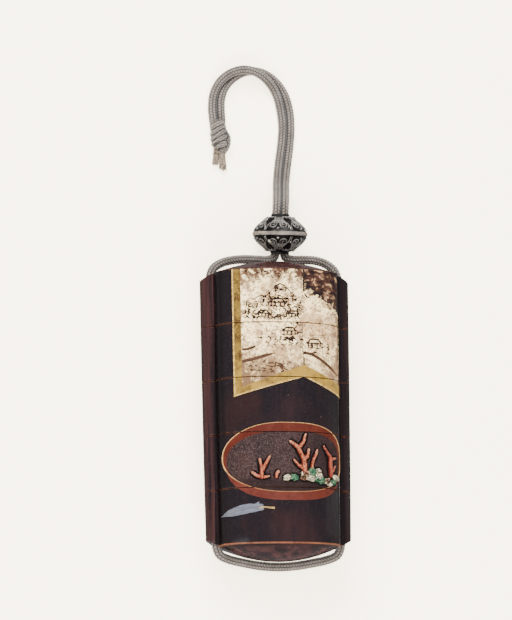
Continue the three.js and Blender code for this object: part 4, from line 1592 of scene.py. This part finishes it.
# x, y, width, height and turn of each stone, and its tone: 0.1 green, 0.6 white, 0.9 brown
STONES = {
    "stones_left": [(0.7, -23.3, 2.9, 1.7, 0.2, 0.6), (2.9, -23.2, 2.9, 2.2, -0.2, 0.1)],
    "stones_middle": [
        (6.3, -23.1, 3.0, 2.2, 0.1, 0.9), (5.8, -21.8, 1.6, 1.3, 0.6, 0.6),
        (7.4, -21.9, 1.7, 1.6, 0.3, 0.9), (9.0, -21.3, 2.6, 2.9, 0.1, 0.1),
        (8.6, -23.4, 2.9, 1.8, 0.0, 0.6), (10.9, -21.0, 1.9, 1.8, 0.3, 0.6),
        (11.3, -22.6, 2.4, 2.4, -0.4, 0.6), (12.2, -24.0, 2.2, 2.2, 0.3, 0.1),
        (10.3, -23.6, 1.6, 1.7, 0.3, 0.1),
    ],
    "stones_right": [
        (14.1, -24.1, 2.2, 2.0, 0.3, 0.9), (15.0, -25.0, 1.7, 1.1, 0.0, 0.6),
        (16.2, -24.3, 2.0, 2.0, 0.1, 0.1), (17.2, -22.9, 2.2, 2.2, 0.2, 0.6),
    ],
}


ROUND_END = np.array((0.98, 0.8, 0.45))  # radii of a rounded end's rings, as shares


def sweep(name, points, radii, around):
    """A closed tube through points with a radius at each, its ends rounded."""
    points, radii = np.asarray(points, float), np.asarray(radii, float)
    run = run_of(points)
    step = max(radii.min() * 0.5, run[-1] / 160)
    at = np.linspace(0, run[-1], max(4, int(run[-1] / step) + 1))
    line = resampled(points, run, at)
    reach = np.interp(at, run, radii)
    ahead = (line[1] - line[0]) / np.linalg.norm(line[1] - line[0])
    last = (line[-1] - line[-2]) / np.linalg.norm(line[-1] - line[-2])
    sink = np.sqrt(1 - ROUND_END ** 2)
    line = np.vstack([line[0] - ahead * reach[0] * sink[::-1, None], line,
                      line[-1] + last * reach[-1] * sink[:, None]])
    reach = np.concatenate([ROUND_END[::-1] * reach[0], reach, ROUND_END * reach[-1]])
    return tube(name, line, reach[:, None], around)


def curve_through(points, per=8):
    """A smooth curve through a few rows of numbers."""
    p = np.array(points, float)
    if len(p) < 3:
        return p
    p = np.vstack([2 * p[0] - p[1], p, 2 * p[-1] - p[-2]])
    s = np.linspace(0, 1, per, endpoint=False)[:, None]
    out = []
    for i in range(1, len(p) - 2):
        a, b, c, d = p[i - 1:i + 3]
        out.append(0.5 * (2 * b + (c - a) * s + (2 * a - 5 * b + 4 * c - d) * s ** 2
                          + (3 * b - a - 3 * c + d) * s ** 3))
    return np.vstack([*out, p[-2:-1]])


def roughened(obj, size, strength):
    """Moves the surface in and out by a fixed noise of that size; both in mm."""
    pattern = bpy.data.textures.new(obj.name + "_relief", "CLOUDS")
    pattern.noise_scale = size * MM
    pattern.noise_depth = 3
    modifier(obj, "DISPLACE", texture=pattern, strength=strength * MM, mid_level=0.5,
             texture_coords="GLOBAL")
    bpy.data.textures.remove(pattern)


INLAY_EDGE_AND_SHADE_LIFT = 0.15
CORAL_SUNK = 0.42  # share of its half thickness that a branch's middle stands off the front
CORAL_CELL = 0.11 * MM
CORAL_GROUND = 0.05
TIP_REACH = 1.5  # mm from a branch's end over which it pales


class INRO_OT_coral(bpy.types.Operator):
    """Carved coral set on the tray, and the dark edge and painted shade round it and the stones"""

    bl_idname = "inro.coral"
    bl_label = "Coral"

    def execute(self, context):
        self.dark_edge_and_shade()
        finish = coral_finish()
        for node, branches in CORAL.items():
            piece = self.carved(node, branches)
            self.mark(piece, branches)
            settle(piece, node.replace("coral", "carved"), finish, [node], smooth=75)
        return {"FINISHED"}

    @staticmethod
    def dark_edge_and_shade():
        """A dark line, partly setting lacquer and partly painted shade, that shows a little way
        round every branch and stone.
        """
        edge = Drawing(1)
        for stops in (stops for branches in CORAL.values() for stops in branches):
            path = np.array(stops, float)
            step = path[-1] - path[0]
            beyond = step[:2] / np.linalg.norm(step[:2]) * 0.55
            path[-1, :2] += beyond
            path[0, :2] -= beyond * 0.5
            path = curve_through(path)
            path[:, 0] *= narrowed(path[:, 1])
            edge.lay(stroke(path[:, :2], 2 * path[:, 2].max() + 0.75, (0.85, 0.7)))
        for x, y, wide, high, _, _ in (row for rows in STONES.values() for row in rows):
            x *= narrowed(y)
            edge.lay(stroke([(x - wide / 2 - 0.35, y), (x, y), (x + wide / 2 + 0.35, y)],
                            high + 0.8, (0.5, 0.5)))
        edge.piece("inlay_edge", edge_and_shade_finish(), INLAY_EDGE_AND_SHADE_LIFT)

    @staticmethod
    def carved(node, branches):
        """The branches of one sprig melted into one body, and roughened."""
        parts = []
        for stops in branches:
            path = curve_through(stops)
            x = path[:, 0] * narrowed(path[:, 1])
            place = front_point(x, path[:, 1], CORAL_GROUND + path[:, 2] * CORAL_SUNK)
            parts.append(sweep(node + "_part", place * MM, path[:, 2] * MM, 14))
        piece = join(parts)
        modifier(piece, "REMESH", mode="VOXEL", voxel_size=CORAL_CELL)
        modifier(piece, "SMOOTH", factor=0.5, iterations=5)
        roughened(piece, 0.75, 0.32)
        return modifier(piece, "SMOOTH", factor=0.5, iterations=1)

    @staticmethod
    def mark(piece, branches):
        """Stores how near each point is to a tip, and how much it faces away from the front, which
        sets the coral's painted highlight and shade.
        """
        p = points_of(piece) / MM
        ends = (stops[-1][:2] for stops in branches)
        gap = np.min([np.hypot(p[:, 0] - x * narrowed(y), p[:, 1] - y) for x, y in ends], axis=0)
        store(piece, "tip", np.clip(1 - gap / TIP_REACH, 0, 1))
        out = front_point(p[:, 0], p[:, 1], 1.0) - front_point(p[:, 0], p[:, 1])
        facing = np.array([v.normal[:] for v in piece.data.vertices])
        store(piece, "ridge", np.clip((facing * out).sum(axis=1), 0, 1))


STONE_POWER = 0.94  # under 1 makes a ball a little squarer
STONE_LIFT, STONE_HALF_HEIGHT = 0.25, 0.8


class INRO_OT_stones(bpy.types.Operator):
    """Green and white stones at the foot of the coral"""

    bl_idname = "inro.stones"
    bl_label = "Stones"

    def execute(self, context):
        finish = stone_finish()
        for node, stones in STONES.items():
            group = join([self.stone(f"{node}_{index}", *row) for index, row in enumerate(stones)])
            settle(group, node.replace("stones", "pebbles"), finish, [node], smooth=50)
        return {"FINISHED"}

    @staticmethod
    def stone(name, x, y, wide, high, turn, tone):
        """One stone, part sunk in the front."""
        deselect()
        bpy.ops.mesh.primitive_ico_sphere_add(subdivisions=4, radius=1 * MM)
        stone = bpy.context.object
        stone.name = name
        p = points_of(stone) / MM
        p = np.sign(p) * np.abs(p) ** STONE_POWER
        c, t = math.cos(turn), math.sin(turn)
        flat = np.stack([p[:, 0] * wide / 2, p[:, 1] * high / 2], axis=1)
        flat = flat @ np.array([[c, t], [-t, c]])
        put_points(stone, front_point(flat[:, 0] + x * narrowed(y), flat[:, 1] + y,
                                      STONE_LIFT + STONE_HALF_HEIGHT * p[:, 2]) * MM)
        roughened(stone, 0.7, 0.75)
        store(stone, "tone", [tone] * len(stone.data.vertices))
        return stone


# The vane's outline from its point, along its upper edge to the quill and back
FEATHER = [(-19.1, -34.85), (-17.6, -33.3), (-15.5, -32.3), (-13.2, -31.55), (-11.1, -31.35),
           (-9.6, -31.5), (-9.15, -31.15), (-8.2, -30.75), (-8.55, -31.4), (-7.1, -31.6),
           (-6.75, -32.4), (-6.95, -33.4), (-8.6, -33.75), (-10.6, -34.15), (-13.2, -34.65),
           (-16.0, -35.1)]
UPPER_POINTS = 10
SHAFT = [(-19.0, -34.8), (-13.0, -33.2), (-6.9, -32.55)]
QUILL = [(-8.3, -32.75), (-6.9, -32.55), (-5.2, -32.7), (-3.75, -32.85)]
VANE_ROWS, VANE_COLUMNS = 34, 6
VANE_SWELL, VANE_THICK, VANE_LIFT = 0.16, 0.12, 0.03
QUILL_LIFT, QUILL_RADII = 0.2, (0.16, 0.34)


class INRO_OT_feather(bpy.types.Operator):
    """Grey pearl feather with a bone quill"""

    bl_idname = "inro.feather"
    bl_label = "Feather"

    def execute(self, context):
        upper = np.array(FEATHER[:UPPER_POINTS])
        lower = np.array(FEATHER[:1] + FEATHER[:UPPER_POINTS - 1:-1])
        feather = thicken(join([self.half(upper, 1), self.half(lower, -1)]), VANE_THICK)
        wrap(feather, VANE_LIFT)
        settle(feather, "feather_vane", feather_finish(), smooth=50)
        spine = curve_through(QUILL)
        place = front_point(spine[:, 0], spine[:, 1], QUILL_LIFT)
        radii = np.linspace(*QUILL_RADII, len(spine)) * MM
        quill = sweep("quill", place * MM, radii, 10)
        settle(quill, "feather_quill", quill_finish(), smooth=60)
        return {"FINISHED"}

    @staticmethod
    def half(edge, side):
        """The vane on one side of its shaft, swelling a little between shaft and edge."""
        share = np.linspace(0, 1, VANE_ROWS)
        shaft = curve_through(SHAFT)
        run = run_of(edge)
        rim = resampled(edge, run, share * run[-1])
        mid = resampled(shaft, np.linspace(0, 1, len(shaft)), share)
        across = np.linspace(0, 1, VANE_COLUMNS)[None, :, None]
        grid = mid[:, None, :] * (1 - across) + rim[:, None, :] * across
        swell = VANE_SWELL * np.sin(np.pi * np.clip(across[..., 0] * 0.9 + 0.08, 0, 1))
        height = swell * np.sin(np.pi * np.clip(share, 0.02, 0.98))[:, None] ** 0.5
        points = np.dstack([grid, height[..., None]]).reshape(-1, 3)
        n = VANE_COLUMNS
        quads = [(i * n + k, (i + 1) * n + k, (i + 1) * n + k + 1, i * n + k + 1)
                 for i in range(VANE_ROWS - 1) for k in range(n - 1)]
        return mesh_object("vane", points * MM, quads if side < 0 else [q[::-1] for q in quads])


# ---- The bead -----------------------------------------------------------------------------------

BEAD_AT = (3.0, 58.6, 8.85)
BEAD_LEAN = math.radians(-80)
# Radius and height, in mm, from the belt up one shoulder; the other shoulder mirrors it
BEAD_PROFILE = [(8.7, 0.0), (8.68, 0.6), (8.5, 0.95), (8.15, 1.4), (7.5, 2.3), (6.6, 3.2),
                (5.7, 4.0), (4.95, 4.7), (4.2, 5.3), (3.7, 5.6)]
BEAD_MOUTH = [(3.05, 5.8), (3.05, 6.4), (2.72, 6.4)]
BEAD_INSIDE = [(2.9, 5.1), (4.6, 4.1), (6.2, 2.6), (7.7, 0.9)]
BEAD_SHOULDER = np.array(BEAD_PROFILE[2:])
BELT = [(8.6, 0.62), (8.84, 0.56), (8.93, 0.26), (8.93, -0.26), (8.84, -0.56), (8.6, -0.62)]
BEAD_STEPS = 96
# Radius, height and thickness of the rings round each mouth
COLLARS = ((3.35, 5.6, 0.24), (3.2, 6.0, 0.2), (3.1, 6.3, 0.18), (4.05, 5.35, 0.16))
MOTIFS = 6
MOTIF_STEP = 2 * math.pi / MOTIFS
FIRST_OPENING = math.radians(-75)
OPENING_RADIUS, OPENING_DEPTH, OPENING_PLACE = 1.75, 5, (7.2, 2.05)
WIRE_LIFT = 0.22
WIRE_SHARE = 0.56  # a wire's radius, as a share of its given thickness
ARCH = np.array([(-1.0, 0.0), (-0.9, 0.42), (-0.55, 0.72), (0, 0.82), (0.55, 0.72), (0.9, 0.42),
                 (1.0, 0.0)])
ARCH_RISE = 0.72
# Turns and start of a spiral, its place beside the motif's middle and up the shoulder, its size
# and its wire
SPIRALS = ((1.6, 1.2, 0.24, 0.34, 0.2, 0.34), (1.3, 2.4, 0.16, 0.74, 0.13, 0.26))
# Turn from the motif's middle, share of the way up and radius of each grain
GRAINS = ((0, 0.1, 0.42), (0, 0.52, 0.4), (0.3, 0.92, 0.26), (-0.3, 0.92, 0.26),
          (MOTIF_STEP / 2, 0.86, 0.36))


def bead_place(angle, share, lift):
    """A point on the bead's upper shoulder: angle round it, share of the way up its profile."""
    run = run_of(BEAD_SHOULDER)
    at = np.clip(share, 0, 1) * run[-1]
    r, z = (np.interp(at, run, BEAD_SHOULDER[:, k]) + lift * 0.7 for k in (0, 1))
    return np.stack([r * np.cos(angle), r * np.sin(angle), z], axis=-1)


def spiral(turns, sway):
    """A spiral that uncurls to radius 1, as rows of sideways and upward shares."""
    t = np.linspace(0, 1, 30)
    radius = 0.18 + 0.82 * t
    angle = turns * 2 * np.pi * (1 - t) + sway
    return np.stack([radius * np.cos(angle), radius * np.sin(angle)], axis=1)


class INRO_OT_bead(bpy.types.Operator):
    """Openwork silver slide bead"""

    bl_idname = "inro.bead"
    bl_label = "Openwork bead"

    def execute(self, context):
        half = [*BEAD_PROFILE[1:], *BEAD_MOUTH, *BEAD_INSIDE]
        shell = self.ring([*half, *((r, -z) for r, z in half[::-1])])
        self.pierce(shell)
        dark = silver_finish("Dark silver", (0.012, 0.011, 0.012), (0.05, 0.046, 0.045))
        pale = silver_finish("Silver", (0.30, 0.28, 0.265), tuple(settings().silver))
        grey = silver_finish("Grey silver", (0.05, 0.046, 0.046), (0.16, 0.15, 0.145))
        worn = silver_finish("Worn silver", (0.11, 0.095, 0.085), (0.26, 0.22, 0.185), 0.35)
        wires = self.wires()
        belt = self.ring(BELT)
        scrolls, collars = join(wires), join(self.collars())
        place = (Matrix.Translation([c * MM for c in BEAD_AT])
                 @ Matrix.Rotation(BEAD_LEAN, 4, "X"))
        for obj in (shell, scrolls, collars, belt):
            obj.data.transform(place)
        settle(shell, "bead_shell", dark, ["ojime_bead"], smooth=40)
        settle(scrolls, "bead_scrolls", pale, smooth=50)
        settle(collars, "bead_collars", grey, smooth=50)
        settle(belt, "bead_belt", worn, smooth=40)
        return {"FINISHED"}

    @staticmethod
    def ring(profile):
        """A profile of (radius, height) in mm, turned about the bead's axis and closed."""
        obj = mesh_object("ring", np.array([(r, 0, z) for r, z in profile]) * MM, [])
        bm = bmesh.new()
        bm.from_mesh(obj.data)
        bm.verts.ensure_lookup_table()
        for i in range(len(profile)):
            bm.edges.new((bm.verts[i], bm.verts[(i + 1) % len(profile)]))
        bm.to_mesh(obj.data)
        bm.free()
        edit(obj, "EDGE", "SELECT")
        bpy.ops.mesh.spin(steps=BEAD_STEPS, angle=2 * math.pi, center=(0, 0, 0), axis=(0, 0, 1))
        bpy.ops.mesh.select_all(action="SELECT")
        bpy.ops.mesh.remove_doubles(threshold=0.001 * MM)
        bpy.ops.mesh.normals_make_consistent(inside=False)
        done()
        return obj

    @staticmethod
    def collars():
        """The rings round both mouths."""
        parts = []
        for up in (1, -1):
            for radius, height, thick in COLLARS:
                deselect()
                bpy.ops.mesh.primitive_torus_add(
                    major_segments=64, minor_segments=10, major_radius=radius * MM,
                    minor_radius=thick * MM, location=(0, 0, up * height * MM))
                parts.append(bpy.context.object)
        return parts

    @staticmethod
    def pierce(shell):
        """Cuts an opening over and under the belt, between the motifs."""
        cutters = []
        out, along = OPENING_PLACE
        for up in (1, -1):
            for i in range(MOTIFS):
                deselect()
                bpy.ops.mesh.primitive_cylinder_add(
                    vertices=3, radius=OPENING_RADIUS * MM, depth=OPENING_DEPTH * MM,
                    end_fill_type="NGON")
                cut = bpy.context.object
                cut.data.transform(
                    Matrix.Rotation(FIRST_OPENING + MOTIF_STEP * i, 4, "Z")
                    @ Matrix.Translation((out * MM, 0, up * along * MM))
                    @ Matrix.Rotation(math.radians(90), 4, "Y")
                    @ Matrix.Rotation(math.radians(-90 * up), 4, "Z")
                    @ Matrix.Diagonal((0.95, 0.95, 1, 1)))
                cutters.append(cut)
        cutter = join(cutters)
        modifier(shell, "BOOLEAN", operation="DIFFERENCE", object=cutter, solver="EXACT")
        bpy.data.objects.remove(cutter)

    def wires(self):
        """Spirals, arches and grains on both shoulders."""
        parts = []
        for up in (1, -1):
            for i in range(MOTIFS):
                middle = FIRST_OPENING + MOTIF_STEP * (i + 0.5)
                for side in (-1, 1):
                    for turns, sway, aside, rise, size, thick in SPIRALS:
                        rows = spiral(turns, sway) * size
                        parts.append(self.wire(middle + (aside + rows[:, 0]) * side,
                                               rise + rows[:, 1] * 1.35, up, thick))
                low = curve_through(ARCH, 6)
                parts.append(self.wire(middle + low[:, 0] * 0.5, 0.02 + low[:, 1] * ARCH_RISE,
                                       up, 0.3))
                high = curve_through(ARCH * (1, 0.8) + (0, 0.05), 6)
                parts.append(self.wire(middle + MOTIF_STEP / 2 + high[:, 0] * 0.36,
                                       0.4 + high[:, 1] * ARCH_RISE, up, 0.3))
                for turn, share, size in GRAINS:
                    x, y, z = bead_place(middle + turn, share, 0.12) * MM
                    deselect()
                    bpy.ops.mesh.primitive_ico_sphere_add(
                        subdivisions=2, radius=size * MM, location=(x, y, z * up))
                    parts.append(bpy.context.object)
        for part in parts:
            apply_place(part)
        return parts

    @staticmethod
    def wire(angle, share, up, thick):
        """A wire that lies on a shoulder, through angles round it and shares of the way up."""
        place = bead_place(angle, share, WIRE_LIFT)
        place[:, 2] *= up
        return sweep("wire", place * MM, np.full(len(place), thick * WIRE_SHARE * MM), 7)


# ---- The knot -----------------------------------------------------------------------------------

# The knot's strands in mm, from its middle; x across, y along, z up
KNOT_AT = np.array((-15.6, 92.3, 2.75))
KNOT_NECK = [[(-1.6, 6.1, -1.45), (-1.45, 4.6, -1.3), (-1.15, 2.4, -0.3)],
             [(1.1, 6.1, -1.45), (0.95, 4.6, -1.3), (1.0, 2.4, -0.4)]]
# Place along, radius, tilt and sideways shift of each turn
KNOT_TURNS = ((3.3, 1.3, -0.60, -0.5), (1.8, 1.55, -0.72, -0.3), (0.2, 1.7, -0.76, 0.0),
              (-1.4, 1.7, -0.70, 0.3), (-2.8, 1.35, -0.30, 0.4))
KNOT_LOOP = [(1.3, 1.4, 0.4), (2.5, 0.2, 0.2), (2.75, -1.8, -0.1), (2.2, -3.6, -0.6),
             (1.3, -4.6, -1.0), (0.5, -3.8, -1.3)]
KNOT_CORE = [(-0.4, 3.4, -0.6), (-0.2, 0, -0.5), (-0.2, -3.6, -0.9)]
KNOT_RELIEF = 0.17 * MM
# Seed, root, direction, length and number of threads of each frayed end
TASSELS = ((7, (-0.75, -3.2, -1.3), (-0.04, -1, -0.02), 6.0, 52),
           (23, (1.05, -3.4, -1.2), (0.05, -1, -0.03), 7.6, 58))
THREAD_RADIUS = 0.15 * MM
THREAD_LOWEST = 0.26


class INRO_OT_knot(bpy.types.Operator):
    """Overhand knot of the doubled cord, with its two frayed ends"""

    bl_idname = "inro.knot"
    bl_label = "Knot"

    def execute(self, context):
        silk = silk_finish()
        radius = settings().cord_diameter / 2
        strands, lines = [], []
        turns = [self.turn(*row) for row in KNOT_TURNS]
        for route in (*KNOT_NECK, *turns, KNOT_LOOP, KNOT_CORE):
            line, _ = smooth_route([tuple(KNOT_AT + p) for p in route], FINE_STEP)
            line[:, 2] = np.maximum(line[:, 2], radius)
            lines.append(line)
            wide = radius + BRAID_SWELL if route in KNOT_NECK else radius
            strands.append(braided_tube("strand", line, wide, KNOT_RELIEF, shade=0.75))
        for strand, own in zip(strands, lines):
            others = np.vstack([line for line in lines if line is not own])
            paint_contact_shade(strand, others[::3], 1.3 * MM, 1.95 * MM, 0.8)
        settle(join(strands), "silk_knot", silk, ["cord_knot"], smooth=60)
        ends = join([self.tassel(*row) for row in TASSELS])
        settle(ends, "silk_frayed_ends", fray_finish(), smooth=60)
        return {"FINISHED"}

    @staticmethod
    def turn(along, radius, tilt, shift):
        """One turn round the knot, tilted across it, a little flattened against the table."""
        t = np.linspace(-0.15, 2 * np.pi + 0.15, 26)
        x = radius * np.cos(t)
        z = radius * 0.66 * np.sin(t)
        y = along - x * math.tan(tilt) + 0.35 * np.sin(t / 2)
        return [tuple(row) for row in np.stack([x + shift, y, z], axis=1)]

    @staticmethod
    def tassel(seed, root, ahead, long, count):
        """Loose threads that spread a little from one place."""
        chance = random.Random(seed)
        root = KNOT_AT + root
        ahead = np.array(ahead, float) / np.linalg.norm(ahead)
        threads = []
        for _ in range(count):
            turn, far = chance.uniform(0, 2 * math.pi), math.sqrt(chance.random())
            side = np.array((math.cos(turn), 0, math.sin(turn) * 0.8)) * far
            reach = long * chance.uniform(0.84, 1.0)
            wave = chance.uniform(-0.25, 0.25)
            rows = []
            for share in (k / 5 for k in range(6)):
                wide = 0.9 + 0.22 * share
                bend = np.array((wave * math.sin(share * 5 + turn), 0, 0))
                point = root + ahead * reach * share + side * wide + bend * share
                point[2] = max(point[2], THREAD_LOWEST)
                rows.append(point * MM)
            line = curve_through(rows, 3)
            threads.append(sweep("thread", line, np.full(len(line), THREAD_RADIUS), 5))
        return join(threads)


# ---- Panel, registration and the run ------------------------------------------------------------


class INRO_PT_panel(bpy.types.Panel):
    """The inro's pieces"""

    bl_label = "Inro"
    bl_idname = "INRO_PT_panel"
    bl_space_type = "VIEW_3D"
    bl_region_type = "UI"
    bl_category = "Inro"

    def draw(self, context):
        column = self.layout.column()
        for operator in OPERATORS:
            column.operator(operator.bl_idname)
        for name in InroSettings.__annotations__:
            column.prop(context.scene.inro, name)


OPERATORS = (INRO_OT_stage, INRO_OT_knot, INRO_OT_bead, INRO_OT_cord, INRO_OT_case,
             INRO_OT_leaf, INRO_OT_drawing, INRO_OT_tray, INRO_OT_coral, INRO_OT_stones,
             INRO_OT_feather)
CLASSES = (InroSettings, *OPERATORS, INRO_PT_panel)


def register():
    for cls in CLASSES:
        bpy.utils.register_class(cls)
    bpy.types.Scene.inro = bpy.props.PointerProperty(type=InroSettings)


def unregister():
    del bpy.types.Scene.inro
    for cls in reversed(CLASSES):
        bpy.utils.unregister_class(cls)


def main():
    register()
    for operator in OPERATORS:
        group, name = operator.bl_idname.split(".")
        getattr(getattr(bpy.ops, group), name)()


if __name__ == "__main__":
    main()
